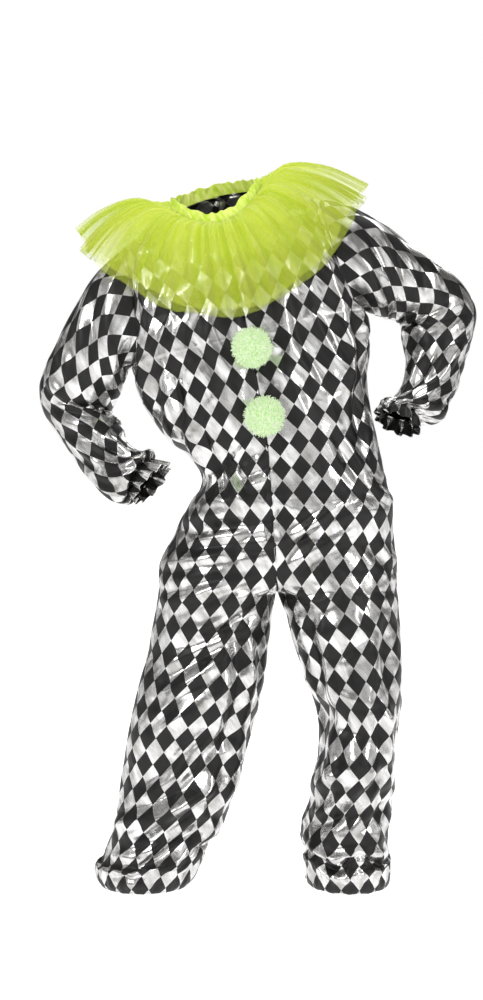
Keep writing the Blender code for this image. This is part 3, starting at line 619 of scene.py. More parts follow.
def panel_flat(side, face, across, row):
    """Where each point of a panel lies on the flat cloth: the centre line and the leg's middle are the grain."""
    points = body_points(side, face, across, row)
    wide = lengths(points, 1)
    middle = across.shape[1] // 2
    down = lengths(points, 0)[:, middle]
    on_leg = smooth((row[:, :1] - RISE_START) / (CROTCH - RISE_START))
    rise = np.argmin(np.abs(row[:, 0] - RISE_START))
    drawn_in = np.clip((row[:, :1] - (HEM - DRAWN_IN_ROWS)) / DRAWN_IN_ROWS, 0, 1)
    last = np.argmin(np.abs(row[:, 0] - (HEM - DRAWN_IN_ROWS)))
    leg_wide = mix(wide, wide[last] * np.ones_like(wide), drawn_in)
    from_middle = leg_wide - leg_wide[:, middle : middle + 1] + wide[rise, middle]
    below = mix(wide, from_middle, on_leg)
    chest = np.argmin(np.abs(row[:, 0] - 1))
    distance = np.abs(upright(points)[0] - YOKE_CENTRE)
    ratio = distance / np.maximum(distance[chest], 1)
    columns_down = lengths(points, 0)
    yoke_down = down[chest] + columns_down - columns_down[chest]
    above = row < 1
    flat_u = np.where(above, wide[chest] * np.where(across > 0, ratio, 1), below) + PRINT_SHIFT[side]
    flat_v = np.where(above, yoke_down, down[:, None])
    return np.stack([SIDES[side] * flat_u, -flat_v], -1)


GATHER_PITCH, GATHER_FINE, GATHER_SWAY, GATHER_LIFT = 17, 9.5, 61, 1.9
GATHER_ROWS, GATHER_RISE, GATHER_END = 1.6, 1.4, 0.25


def gathers(wide, row, end):
    """Small upright folds above the elastic of a wrist or an ankle."""
    ripple = np.sin(wide / GATHER_PITCH * 2 * math.pi + 1.6 * np.sin(wide / GATHER_SWAY * 2 * math.pi))
    ripple += 0.5 * np.sin(wide / GATHER_FINE * 2 * math.pi + 2)
    return GATHER_LIFT * ripple * smooth((row - end + GATHER_ROWS) / GATHER_RISE) * smooth((end - row) / GATHER_END)


HOLD, SHOULDER_HOLD, CALM_CENTRE, CALM_SIDE = 0.10, 0.8, 0.08, 0.09
OVER_SEAM, OVER_YOKE = 0.6, 0.4
pieces = {}
for side in SIDES:
    for face in FACES:
        built, across, down = make_grid(len(PANEL_ACROSS) - 1, len(PANEL_ROWS) - 1)
        across = np.interp(across, np.linspace(0, 1, len(PANEL_ACROSS)), PANEL_ACROSS)
        row = np.interp(down, np.linspace(0, 1, len(PANEL_ROWS)), PANEL_ROWS)
        points = body_points(side, face, across, row)
        flat = panel_flat(side, face, across, row)
        normals = grid_normals(points) * SIDES[side] * FACES[face]
        over_seam = OVER_SEAM * smooth((CROTCH - 0.1 - row) * 2)
        calm = mix(over_seam, 1, smooth(across / CALM_CENTRE)) * smooth((1 - across) / CALM_SIDE)
        calm *= smooth(row * 2) * mix(OVER_YOKE, 1, smooth(row)) * smooth((HEM - row) * 1.5)
        seen = points[..., [0, 2]]
        lift = fold_lift(seen, FOLDS[face]) + fold_lift(seen, with_followers(LINES[face]))
        points = points + normals * (calm * lift + gathers(flat[..., 0], row, HEM))[..., None]
        inside = points.mean(axis=1, keepdims=True) * [1, 0, 1]
        hold = mix(mix(HOLD, SHOULDER_HOLD, smooth(1 - row) * 0.4), 1, smooth(row - HEM + 1.4))
        hold = np.where(row == 0, 1.0, hold)
        pieces[f"{face}_{side}"] = {"grid": built, "points": points, "flat": flat, "calm": calm,
                                    "inside": inside, "hold": hold}
        print(face, side, "panel:", len(built.verts), "points, flat",
              round(np.ptp(flat[..., 0])), "by", round(np.ptp(flat[..., 1])), "mm")

# %% Sleeves
SLEEVE_ROWS = np.concatenate([np.linspace(0, 1, 6), np.linspace(1, WRIST, 60)[1:]])
SLEEVE_CUT = {"row": (0, 3.5, 7, WRIST), "wide": (572, 480, 430, 400)}
CALM_SEAM, WRIST_HELD = 0.05, 0.3


def from_underarm(share):
    """The place around a sleeve, 0 at its top, of a share around its cloth, whose ends meet under the arm."""
    return np.mod(share + 0.5, 1)


for side in SIDES:
    built, share, down = make_grid(2 * ARMHOLE_ROWS, len(SLEEVE_ROWS) - 1)
    around = from_underarm(share)
    row = np.interp(down, np.linspace(0, 1, len(SLEEVE_ROWS)), SLEEVE_ROWS)
    points = sleeve_points(side, around, row)
    middles = ring_middles(points)
    own, middle = lengths(points, 0), lengths(middles, 0)
    cap_end = np.argmin(np.abs(row[:, 0] - 1))
    along = np.where(row < 1, own - own[cap_end] + middle[cap_end], middle)
    flat = np.stack([(share - 0.5) * np.interp(row, SLEEVE_CUT["row"], SLEEVE_CUT["wide"]), -along], -1)
    normals = grid_normals(points, closed=True)
    normals *= np.sign((normals * (points - middles)).sum())
    seen = np.stack([around * SLEEVE_GIRTH, row * SLEEVE_ROW], -1)
    lift = sum(fold_lift(seen + [turn * SLEEVE_GIRTH, 0], folds)
               for folds in (SLEEVE_FOLDS, with_followers(SLEEVE_LINES)) for turn in (-1, 0, 1))
    off_seam = smooth(np.minimum(share, 1 - share) / CALM_SEAM)
    calm = smooth(row) * smooth((WRIST - row) / 2) * off_seam
    points = points + normals * (lift * calm + gathers(flat[..., 0], row, WRIST) * off_seam)[..., None]
    pieces[f"sleeve_{side}"] = {"grid": built, "points": points, "flat": flat, "calm": calm, "inside": middles,
                                "hold": np.where(row > WRIST - WRIST_HELD, 1.0, HOLD)}
    print(side, "sleeve:", len(built.verts), "points")

# %% [markdown]
# ## Seams and small creases
# A sewn seam pulls the cloth into a shallow valley. Between the big folds, satin also keeps many short, faint
# creases. They are too many to place one by one, so a seeded generator draws them within set limits.

# %% Seam valleys and small creases
SEAM_DEPTH, SEAM_WIDTH, PUCKER, PUCKER_PITCH = 1.6, 5.0, 0.35, 16


def valley(points):
    """How deep the seams along the side columns of a grid pull each of its points in."""
    wide = lengths(points, 1)
    total = wide[:, -1:]
    near = np.exp(-((wide / SEAM_WIDTH) ** 2)) + np.exp(-(((total - wide) / SEAM_WIDTH) ** 2))
    pucker = 1 + PUCKER * np.sin(lengths(points, 0) / PUCKER_PITCH * 2 * math.pi)
    return -SEAM_DEPTH * near * pucker


def small_creases(seed, count, low, high, lean, length=(35, 120), width=(5, 10), height=(0.8, 2.4)):
    """A seeded table of short creases between two corners of the flat cloth; lean is their main slope."""
    draw = np.random.default_rng(seed)
    start = draw.uniform(low, high, (count, 2))
    angle = draw.normal(lean, 0.5, count)
    reach = draw.uniform(*length, count)
    sign = np.where(draw.random(count) < 0.5, -1, 1)
    return {
        "from_x": start[:, 0], "from_z": start[:, 1],
        "to_x": start[:, 0] + reach * np.cos(angle), "to_z": start[:, 1] + reach * np.sin(angle),
        "width": draw.uniform(*width, count), "height": sign * draw.uniform(*height, count),
    }


def crease(name, seed, count, lean):
    """Adds the seams and small creases to one sheet."""
    piece = pieces[name]
    points, flat = piece["points"], piece["flat"]
    normals = grid_normals(points)
    normals *= np.sign((normals * (points - piece["inside"])).sum())
    low, high = flat.min(axis=(0, 1)), flat.max(axis=(0, 1))
    lift = fold_lift(flat, small_creases(seed, count, low, high, lean))
    lift *= piece["calm"]
    piece["points"] = points + normals * (lift + valley(points))[..., None]
    print(name, "small creases:", count)


# %% Sheets with their creases
CREASES = {
    "front_right": (11, 130, 0.6), "front_left": (12, 130, -0.5),
    "back_right": (13, 130, 0.4), "back_left": (14, 130, -0.4),
    "sleeve_right": (15, 70, 0.3), "sleeve_left": (16, 70, -0.3),
}
for name, (seed, count, lean) in CREASES.items():
    crease(name, seed, count, lean)

# %% [markdown]
# ## Letting the cloth settle
# Real folds come from spare cloth: it is held at the seams and has to buckle between them. The sheets are
# sewn into one cloth that wants to be a little larger than its form, and Blender's cloth simulation lets it
# buckle for a few frames. The shoulders, wrists and hems are held, and the rest is drawn softly to its form.

# %% Sewing the sheets together and letting them buckle
SPARE, FRAMES, MOST_MOVE, WELD, GRAVITY = 0.08, 20, 13.0, 4, 0.25
SATIN = {
    "quality": 5, "mass": 0.12, "tension_stiffness": 18, "compression_stiffness": 18, "shear_stiffness": 6,
    "bending_stiffness": 0.03, "air_damping": 4, "vertex_group_mass": "held", "pin_stiffness": 0.6,
    "shrink_min": -SPARE,
}


def sewn_cloth():
    """One object of all the sheets, welded along the seams, with its points' pull to the form."""
    whole = bmesh.new()
    holds = []
    for piece in pieces.values():
        copy = piece["grid"].copy()
        for vert, point in zip(copy.verts, piece["points"].reshape(-1, 3) * MM):
            vert.co = point
        part = bpy.data.meshes.new("part")
        copy.to_mesh(part)
        copy.free()
        whole.from_mesh(part)
        bpy.data.meshes.remove(part)
        holds.append(piece["hold"].ravel())
    before = np.array([vert.co for vert in whole.verts])
    weight = whole.verts.layers.deform.verify()
    for vert, hold in zip(whole.verts, np.concatenate(holds)):
        vert[weight][0] = float(hold)
    bmesh.ops.remove_doubles(whole, verts=whole.verts, dist=WELD * MM)
    bmesh.ops.recalc_face_normals(whole, faces=whole.faces)
    sewn = add_mesh("sewn", whole, rounded=False)
    sewn.vertex_groups.new(name="held")
    return sewn, before


def settle():
    """Simulates the sewn cloth and gives back how far each point of the sheets moved."""
    sewn, before = sewn_cloth()
    start = np.array([vert.co for vert in sewn.data.vertices])
    cloth = sewn.modifiers.new("cloth", "CLOTH")
    for setting, value in SATIN.items():
        setattr(cloth.settings, setting, value)
    cloth.settings.effector_weights.gravity = GRAVITY
    cloth.collision_settings.use_self_collision = cloth.collision_settings.use_collision = False
    for number in range(1, FRAMES + 1):
        bpy.context.scene.frame_set(number)
    ready = sewn.evaluated_get(bpy.context.evaluated_depsgraph_get()).data
    move = np.array([vert.co for vert in ready.vertices]) - start
    bpy.context.scene.frame_set(1)
    tree = KDTree(len(start))
    for number, point in enumerate(start):
        tree.insert(point, number)
    tree.balance()
    nearest = np.array([tree.find(point)[1] for point in before])
    bpy.data.objects.remove(sewn)
    move = move[nearest] / MM
    far = np.linalg.norm(move, axis=1, keepdims=True)
    print("cloth moved: mean", far.mean().round(2), "mm, most", far.max().round(1), "mm")
    return move * np.tanh(far / MOST_MOVE) * MOST_MOVE / np.maximum(far, 1e-6)


moves = settle()
start = 0
for piece in pieces.values():
    shape = piece["points"].shape
    count = shape[0] * shape[1]
    piece["points"] = piece["points"] + moves[start : start + count].reshape(shape)
    start += count

# %% [markdown]
# ## Cloth with a thickness
# A grid that has its final points becomes a piece: it is laid, smoothed by one level of subdivision, and
# given the thickness of its cloth by a Solidify modifier. A tube's first and last columns are merged.

# %% Making a piece from a grid
CLOTH_THICK, NET_THICK, JOIN = 1.2, 0.4, 0.2
suit, finished = {}, {}


def finish_piece(name, built, points, flat, thick, tube, finer=True):
    """Lays a grid on its points and makes it a finished piece that stands for a CAD node."""
    if tube:
        points[:, -1] = points[:, 0]
    finished[name.removesuffix("_cloth")] = points, thick
    lay(built, points, flat)
    if tube:
        bmesh.ops.remove_doubles(built, verts=built.verts, dist=JOIN * MM)
    bmesh.ops.recalc_face_normals(built, faces=built.faces)
    piece = add_mesh(name, built)
    if finer:
        halved = piece.modifiers.new("finer", "SUBSURF")
        halved.levels = halved.render_levels = 1
    wall = piece.modifiers.new("wall", "SOLIDIFY")
    wall.thickness, wall.offset = thick * MM, 0
    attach(piece, "root")
    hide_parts(name.removesuffix("_cloth"))
    return piece


def grid_area(points):
    """The area of a grid of points, in square metres."""
    wide, down = np.diff(points, axis=1)[:-1], np.diff(points, axis=0)[:, :-1]
    return float(np.linalg.norm(np.cross(wide, down), axis=-1).sum()) * MM * MM


def gathered_strip(name, built, points, flat, thick, finer=True):
    """A finished tube that was cut as a straight strip and gathered."""
    suit[name] = finish_piece(name + "_cloth", built, points, flat, thick, True, finer)


# %% The fronts, the backs and the sleeves
for name, piece in pieces.items():
    tube = name.startswith("sleeve")
    suit[name] = finish_piece(name + "_cloth", piece["grid"], piece["points"], piece["flat"], CLOTH_THICK, tube)
    area = grid_area(piece["points"])

# %% [markdown]
# ## Frills and hems
# The elastic at each wrist stands a little back from the edge, so the last 24 mm of the sleeve flare into a
# frill. At the ankles the hem is folded round its elastic and sewn, which leaves small even gathers.

# %% The frills beyond the wrist elastic
FRILL_COLUMNS, FRILL_ROWS, FRILL_WAVES, FRILL_DEPTH, FRILL_FLARE = 200, 8, 10, 24, (0.08, 0.15)
for side in SIDES:
    built, share, down = make_grid(FRILL_COLUMNS, FRILL_ROWS)
    around = from_underarm(share)
    row = mix(WRIST, FRILL_EDGE, down)
    points = sleeve_points(side, around, row)
    middles = ring_middles(points)
    turn = around * 2 * math.pi
    flare = mix(*FRILL_FLARE, down)
    wave = np.cos(turn * FRILL_WAVES + 0.5 * np.sin(2 * turn + 1)) * (1 + 0.25 * np.sin(3 * turn))
    small = 0.25 * sway(turn, 27, 1.5, 4) * (1 - 0.5 * down)
    points = points + (points - middles) * (flare * (wave + small))[..., None]
    last = pieces[f"sleeve_{side}"]["flat"][-1, 0, 1]
    flat = np.stack([(share - 0.5) * SLEEVE_CUT["wide"][-1], last - FRILL_DEPTH * down], -1)
    gathered_strip(f"cuff_{side}", built, points, flat, CLOTH_THICK)

# %% The cased hems at the ankles
HEM_COLUMNS, HEM_ROWS, HEM_WAVES, HEM_LIFT, CASING = 160, 8, 12, 3.5, 14
for side in SIDES:
    built, around, down = make_grid(HEM_COLUMNS, HEM_ROWS)
    row = mix(HEM, HEM + 1, down)
    across = 1 - np.abs(1 - 2 * around)
    front, back = (body_points(side, face, across, row) for face in FACES)
    points = np.where((around < 0.5)[..., None], front, back)
    middles = ring_middles(points)
    turn = around * 2 * math.pi
    wave = np.cos(turn * HEM_WAVES) + 0.4 * sway(turn, 31, 2, 3)
    points = points + unit(points - middles) * (HEM_LIFT * down * wave)[..., None]
    lasts = [pieces[f"{face}_{side}"]["flat"][-1] for face in FACES]
    front, back = (np.interp(across, PANEL_ACROSS, last[:, 0] * SIDES[side]) * SIDES[side] for last in lasts)
    flat = np.stack([np.where(around < 0.5, front, back), lasts[0][0, 1] - CASING * down], -1)
    gathered_strip(f"hem_{side}", built, points, flat, CLOTH_THICK)

# %% [markdown]
# ## The collar
# Two strips of net are gathered hard onto the neck band and stand out over the shoulders. Near the band the
# gathers are many and small; towards the raw edge they open into broader flutes. The net is a thin sheet
# with holes in its material, so the diamonds show through both layers.

# %% Two layers of gathered net
NET_COLUMNS, NET_ROWS, COLLAR_LIFT, COLLAR_WAVES = 700, 16, 7.5, 32
RIPPLE, FINE_RIPPLE, RAGGED, RAGGED_SLOW = 1.3, 1.8, 3.0, 2.5
for name, columns in COLLARS.items():
    built, share, down = make_grid(NET_COLUMNS, NET_ROWS)
    around = np.mod(share + 0.5, 1)
    points = from_neckline(columns, around, down * 3, *NET_SEAM[name])
    flat = np.stack([share * lengths(points, 1)[-1, -1], -lengths(points, 0)], -1)
    turn = around * 2 * math.pi
    uneven = 1 + 0.25 * np.sin(3 * turn + 1) + 0.2 * np.sin(7 * turn)
    phase = COLLAR_WAVES * turn + 0.5 * np.sin(5 * turn) + 0.4 * np.sin(2 * turn)
    broad = mix(0.08, 1, down) * COLLAR_LIFT * uneven * np.tanh(1.7 * np.sin(phase))
    shift = 0 if name == "collar_upper" else 1.3
    ripples = FINE_RIPPLE * smooth(down * 6) * (1 - 0.5 * down) * sway(turn, 97, 2, 9, shift)
    ripples += RIPPLE * smooth(down * 3) * sway(turn, 61, 3, 4, 2 * shift, 2 * down)
    normals = grid_normals(points, closed=True)
    normals *= np.sign((normals * (points - points.mean(axis=1, keepdims=True))).sum())
    points = points + normals * (broad + ripples)[..., None]
    ragged = RAGGED * np.tanh(3 * sway(turn, 9, 2, 2, shift)) + RAGGED_SLOW * np.sin(5 * turn + 4 * shift)
    points = points + unit(np.gradient(points, axis=0)) * ((ragged - RAGGED_SLOW) * down**3)[..., None]
    points[:, -1] = points[:, 0]
    gathered_strip(name, built, points, flat, NET_THICK, finer=False)

# %% The crinkled neck band
BAND_COLUMNS, BAND_ROWS, BAND_WAVES, BAND_LIFT, BAND_THICK, BAND_DEPTH = 240, 8, 18, 2.2, 1.5, 26
BAND_CRINKLE, BAND_FINE, RUFFLE, RUFFLE_SLOW = 0.9, 0.5, 1.6, 1.2
built, around, down = make_grid(BAND_COLUMNS, BAND_ROWS)
points = from_neckline(BAND, around, down * 2, 0, BAND_SEAM)
flat = np.stack([lengths(points, 1), -lengths(points, 0)], -1)
turn = around * 2 * math.pi
middles = ring_middles(points)
crinkle = BAND_LIFT * down * np.cos(turn * BAND_WAVES)
crinkle += BAND_CRINKLE * np.sin(down * math.pi) * sway(turn, 47, 3, 7, slant=4 * down)
crinkle += BAND_FINE * np.sin(59 * turn - 5 * down)
points = points + unit(points - middles) * (crinkle * smooth(down * 5))[..., None]
ruffle = RUFFLE * sway(turn, 23, 2, 5) + RUFFLE_SLOW * np.sin(turn * 11 + 1)
points = points + leaned(0, 0, 1) * (ruffle * smooth(down * 2 - 1))[..., None]
gathered_strip("neck_band", built, points, flat, BAND_THICK)

# %% [markdown]
# ## Stitches
# The hems, the wrists and the band are sewn down with a row of machine stitches. Each stitch is a short bead
# of thread that lies along the cloth and sinks into it at both ends, so a stretched ball of a few faces does.

# %% Rows of stitches
# The pieces with a row of stitches, and the row of the piece's grid that carries it.
PITCH, STITCH_LONG, STITCH_WIDE = 4.2, 1.5, 0.42
STITCHED = {"hem_right": 1, "hem_left": 1, "cuff_right": 1, "cuff_left": 1, "neck_band": 2}


def stitches(name, line, outward, above):
    """A row of thread beads along a closed line of points on a piece."""
    walk = lengths(line, 0)
    count = int(walk[-1] / PITCH)
    built = bmesh.new()
    for at in (np.arange(count) + 0.5) * walk[-1] / count:
        place, up, ahead = (np.array([np.interp(at, walk, column) for column in values.T])
                            for values in (line, outward, np.gradient(line, axis=0)))
        ahead = unit(ahead)
        up = unit(up - ahead * (up @ ahead))
        turned = Matrix(np.column_stack([ahead, np.cross(up, ahead), up])).to_4x4()
        spot = Matrix.Translation((place + up * above) * MM) @ turned @ Matrix.Diagonal(
            (STITCH_LONG * MM, STITCH_WIDE * MM, STITCH_WIDE * MM, 1))
        bmesh.ops.create_icosphere(built, subdivisions=1, radius=1, matrix=spot)
    bmesh.ops.recalc_face_normals(built, faces=built.faces)
    row = add_mesh(name, built)
    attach(row, "root")
    print(name, "beads:", count)
    return row


threads = {}
for name, number in STITCHED.items():
    points, thick = finished[name]
    outward = unit(points - ring_middles(points))
    threads[name] = stitches(name + "_stitches", points[number], outward[number], thick / 2)

# %% [markdown]
# ## The pompoms
# Each pompom is a ball of soft cut yarn. A core is made first, and a geometry-nodes tree scatters short bent
# strands over it, each a tapered prism of three sides. The instances are made real, so that the strands are
# in the mesh itself.

# %% One strand of yarn
STRAND_LENGTH, STRAND_ROOT, STRAND_TIP = 11.5, 1.15, 0.75
STRAND_BEND, STRAND_SWAY, STRAND_DROOP = 5.5, 1.6, 1.8
strand_mesh = bmesh.new()
bmesh.ops.create_cone(strand_mesh, segments=3, cap_ends=True, radius1=STRAND_ROOT * MM,
                      radius2=STRAND_TIP * MM, depth=STRAND_LENGTH * MM)
sides = [edge for edge in strand_mesh.edges if abs(edge.verts[0].co.z - edge.verts[1].co.z) > STRAND_LENGTH * MM / 2]
bmesh.ops.subdivide_edges(strand_mesh, edges=sides, cuts=3)
for vert in strand_mesh.verts:
    vert.co.z += STRAND_LENGTH / 2 * MM
    bend = vert.co.z / (STRAND_LENGTH * MM)
    vert.co.x += STRAND_BEND * MM * bend**2
    vert.co.y += STRAND_SWAY * MM * math.sin(bend * 6)
    vert.co.z -= STRAND_DROOP * MM * bend**3
strand = add_mesh("strand", strand_mesh)
print("a strand has", len(strand.data.polygons), "faces")

# %% The tree that scatters strands
STRANDS, LEAST_SIZE, MOST_SIZE, TILT = 1800, 0.7, 1.12, 1.0


def fluff_tree(seed, density):
    """A geometry-nodes tree: strands on a core, turned and sized at random, made real."""
    tree = bpy.data.node_groups.new(f"fluff_{seed}", "GeometryNodeTree")
    for way in ("INPUT", "OUTPUT"):
        tree.interface.new_socket("Geometry", in_out=way, socket_type="NodeSocketGeometry")
    kinds = {
        "core": "NodeGroupInput", "scatter": "GeometryNodeDistributePointsOnFaces",
        "shape": "GeometryNodeObjectInfo", "place": "GeometryNodeInstanceOnPoints",
        "tilt": "FunctionNodeRandomValue", "size": "FunctionNodeRandomValue",
        "turned": "FunctionNodeRotateRotation", "real": "GeometryNodeRealizeInstances",
        "join": "GeometryNodeJoinGeometry", "out": "NodeGroupOutput",
    }
    nodes = {name: tree.nodes.new(kind) for name, kind in kinds.items()}
    nodes["tilt"].data_type = "FLOAT_VECTOR"
    nodes["turned"].rotation_space = "LOCAL"
    values = [
        ("scatter", "Density", density), ("scatter", "Seed", seed), ("shape", "Object", strand),
        ("tilt", 0, (-TILT, -TILT, -math.pi)), ("tilt", 1, (TILT, TILT, math.pi)),
        ("size", 2, LEAST_SIZE), ("size", 3, MOST_SIZE),
    ]
    for name, entry, value in values:
        nodes[name].inputs[entry].default_value = value
    links = [
        ("core", 0, "scatter", "Mesh"), ("scatter", "Points", "place", "Points"),
        ("shape", "Geometry", "place", "Instance"), ("scatter", "Rotation", "turned", "Rotation"),
        ("tilt", 0, "turned", "Rotate By"), ("turned", 0, "place", "Rotation"),
        ("size", 1, "place", "Scale"), ("place", 0, "real", 0), ("core", 0, "join", 0),
        ("real", 0, "join", 0), ("join", 0, "out", 0),
    ]
    for start, socket, end, entry in links:
        tree.links.new(nodes[start].outputs[socket], nodes[end].inputs[entry])
    return tree


# %% Two pompoms on the front seam
CORE_RADIUS, POMPOM_RADIUS, BACK_SHARE, BACK_GAP, FLUFF_SEED = 31.0, 32, 0.72, 0.3, 21
for number, name in enumerate(("pompom_upper", "pompom_lower")):
    low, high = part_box(name)
    middle = (low + high) / 2
    back = high.y - BACK_GAP * MM
    middle.y = high.y - BACK_SHARE * POMPOM_RADIUS * MM
    core = bmesh.new()
    bmesh.ops.create_icosphere(core, subdivisions=4, radius=CORE_RADIUS * MM)
    bmesh.ops.translate(core, verts=core.verts, vec=middle)
    bmesh.ops.bisect_plane(core, geom=core.verts[:] + core.edges[:] + core.faces[:],
                           plane_co=(0, back, 0), plane_no=(0, 1, 0), clear_outer=True)
    bmesh.ops.holes_fill(core, edges=[edge for edge in core.edges if edge.is_boundary])
    area = sum(face.calc_area() for face in core.faces)
    base = add_mesh("pompom_base", core)
    base.modifiers.new("fluff", "NODES").node_group = fluff_tree(FLUFF_SEED + number, STRANDS / area)
    ready = bpy.data.meshes.new_from_object(base.evaluated_get(bpy.context.evaluated_depsgraph_get()))
    bpy.data.objects.remove(base)
    for vert in ready.vertices:
        vert.co.y = min(vert.co.y, back)
    pompom = add_object(name + "_yarn", ready)
    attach(pompom, "root")
    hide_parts(name)
    suit[name] = pompom
    print(name, "faces:", len(ready.polygons))
bpy.data.objects.remove(strand)

# %% [markdown]
# ## Materials
# The cloth is satin printed with diamonds, half of them covered by a thin silver foil. The foil is metal, so it
# shows the light of the room in soft streaks, and the black stays a deep satin. The foil's colour is also painted
# with cloudy warm-grey patches, which are painted reflections of the room. The pattern is drawn from the UV map
# in metres, with two families of slanted lines. What several materials share is made once as a group.

# %% Helpers for node trees
def new_material(name):
    """A material, its node tree and its Principled shader."""
    material = bpy.data.materials.new(name)
    material.use_nodes = True
    return material, material.node_tree, material.node_tree.nodes["Principled BSDF"]


def put(tree, made, inputs):
    """Fills a node's inputs, named or numbered: each with a socket or a constant."""
    for key, value in inputs.items():
        if isinstance(value, bpy.types.NodeSocket):
            tree.links.new(value, made.inputs[key])
        elif value is not None:
            made.inputs[key].default_value = value


def node(tree, kind, inputs=None, **settings):
    """A new node with its settings and its inputs."""
    made = tree.nodes.new(kind)
    for key, value in settings.items():
        setattr(made, key, value)
    put(tree, made, inputs or {})
    return made


def maths(tree, operation, first, second=None):
    return node(tree, "ShaderNodeMath", {0: first, 1: second}, operation=operation).outputs[0]


def blend_colours(tree, share, first, second):
    return node(tree, "ShaderNodeMix", {"Factor": share, 6: first, 7: second}, data_type="RGBA").outputs[2]


def spread(tree, value, low, high, to_low, to_high):
    """A Map Range node from one span of values to another."""
    return node(tree, "ShaderNodeMapRange", {0: value, 1: low, 2: high, 3: to_low, 4: to_high}).outputs[0]


def tones(tree, value, low, high, first, second):
    """A colour that runs from one tone to another over a span of a value."""
    return blend_colours(tree, spread(tree, value, low, high, 0, 1), first, second)


# %% A group for fine crinkles: long soft wrinkles and a short grain
def make_crinkle_group():
    tree = bpy.data.node_groups.new("crinkle", "ShaderNodeTree")
    for socket, way in (("Size", "INPUT"), ("Grain", "INPUT"), ("Height", "OUTPUT"), ("Cloud", "OUTPUT")):
        tree.interface.new_socket(socket, in_out=way, socket_type="NodeSocketFloat")
    given, result = node(tree, "NodeGroupInput"), node(tree, "NodeGroupOutput")
    place = node(tree, "ShaderNodeTexCoord").outputs["Object"]
    slant = node(tree, "ShaderNodeVectorRotate", {"Vector": place, "Angle": 0.6}, rotation_type="Y_AXIS")
    drawn = node(tree, "ShaderNodeVectorMath", {0: slant.outputs[0], 1: (1.3, 1.3, 0.4)}, operation="MULTIPLY")
    kinds = (("Size", 3, 0.8, "RIDGED_MULTIFRACTAL"), ("Size", 4, 0, "FBM"), ("Grain", 1, 0, "FBM"))
    noises = []
    for scale, detail, distortion, kind in kinds:
        inputs = {"Vector": drawn.outputs[0], "Scale": given.outputs[scale], "Detail": detail,
                  "Distortion": distortion}
        noises.append(node(tree, "ShaderNodeTexNoise", inputs, noise_type=kind).outputs[0])
    wrinkle, cloud, grain = noises
    height = maths(tree, "ADD", maths(tree, "MULTIPLY", wrinkle, 0.5), maths(tree, "MULTIPLY", grain, 0.02))
    put(tree, result, {"Height": height, "Cloud": cloud})
    return tree


CRINKLE = make_crinkle_group()
print("shared group:", CRINKLE.name)


def add_crinkle(tree, shader, size, grain, strength, distance):
    """Bumps a shader with the shared crinkles, and gives back the group's cloudy value."""
    group = node(tree, "ShaderNodeGroup", {"Size": size, "Grain": grain}, node_tree=CRINKLE)
    bump = node(tree, "ShaderNodeBump",
                {"Strength": strength, "Distance": distance, "Height": group.outputs["Height"]})
    put(tree, shader, {"Normal": bump.outputs[0]})
    return group.outputs["Cloud"]


def flat_place(tree):
    """Where a point lies on the flat cloth, in metres."""
    return node(tree, "ShaderNodeUVMap", uv_map="cloth").outputs[0]


# %% Satin with black and silver diamonds
DIAMOND_WIDE, DIAMOND_TALL = 0.038, 0.054


def make_harlequin():
    material, tree, shader = new_material("harlequin_satin")
    flat = node(tree, "ShaderNodeSeparateXYZ", {0: flat_place(tree)})
    across = maths(tree, "DIVIDE", flat.outputs["X"], DIAMOND_WIDE)
    down = maths(tree, "DIVIDE", flat.outputs["Y"], DIAMOND_TALL)
    first, second = (maths(tree, "FLOOR", maths(tree, way, across, down)) for way in ("ADD", "SUBTRACT"))
    silver = maths(tree, "PINGPONG", maths(tree, "ADD", first, second), 1.0)
    cloud = add_crinkle(tree, shader, 34.0, 1500.0, 0.5, 0.004)
    # The foil's colour drifts with the cloud from light grey to a darker warm grey: painted reflections of the room,
    # beside the real ones of the metal.
    foil_with_painted_reflection = tones(tree, cloud, 0.35, 0.65, (0.86, 0.86, 0.86, 1), (0.46, 0.45, 0.435, 1))
    black = tones(tree, cloud, 0.3, 0.7, (0.006, 0.006, 0.006, 1), (0.014, 0.013, 0.013, 1))
    rough = spread(tree, silver, 0, 1, 0.42, 0.22)
    put(tree, shader, {
        "Base Color": blend_colours(tree, silver, black, foil_with_painted_reflection),
        "Metallic": maths(tree, "MULTIPLY", silver, 0.9),
        "Roughness": maths(tree, "ADD", rough, spread(tree, cloud, 0.3, 0.7, -0.05, 0.06)),
        "Specular IOR Level": 0.3,
    })
    return material


harlequin = make_harlequin()
print("diamonds:", DIAMOND_WIDE, "by", DIAMOND_TALL, "m")

# %% Yellow-green net
HOLES, GATHERS_A_METRE, NET_DEPTH = 620, 75.0, 0.215


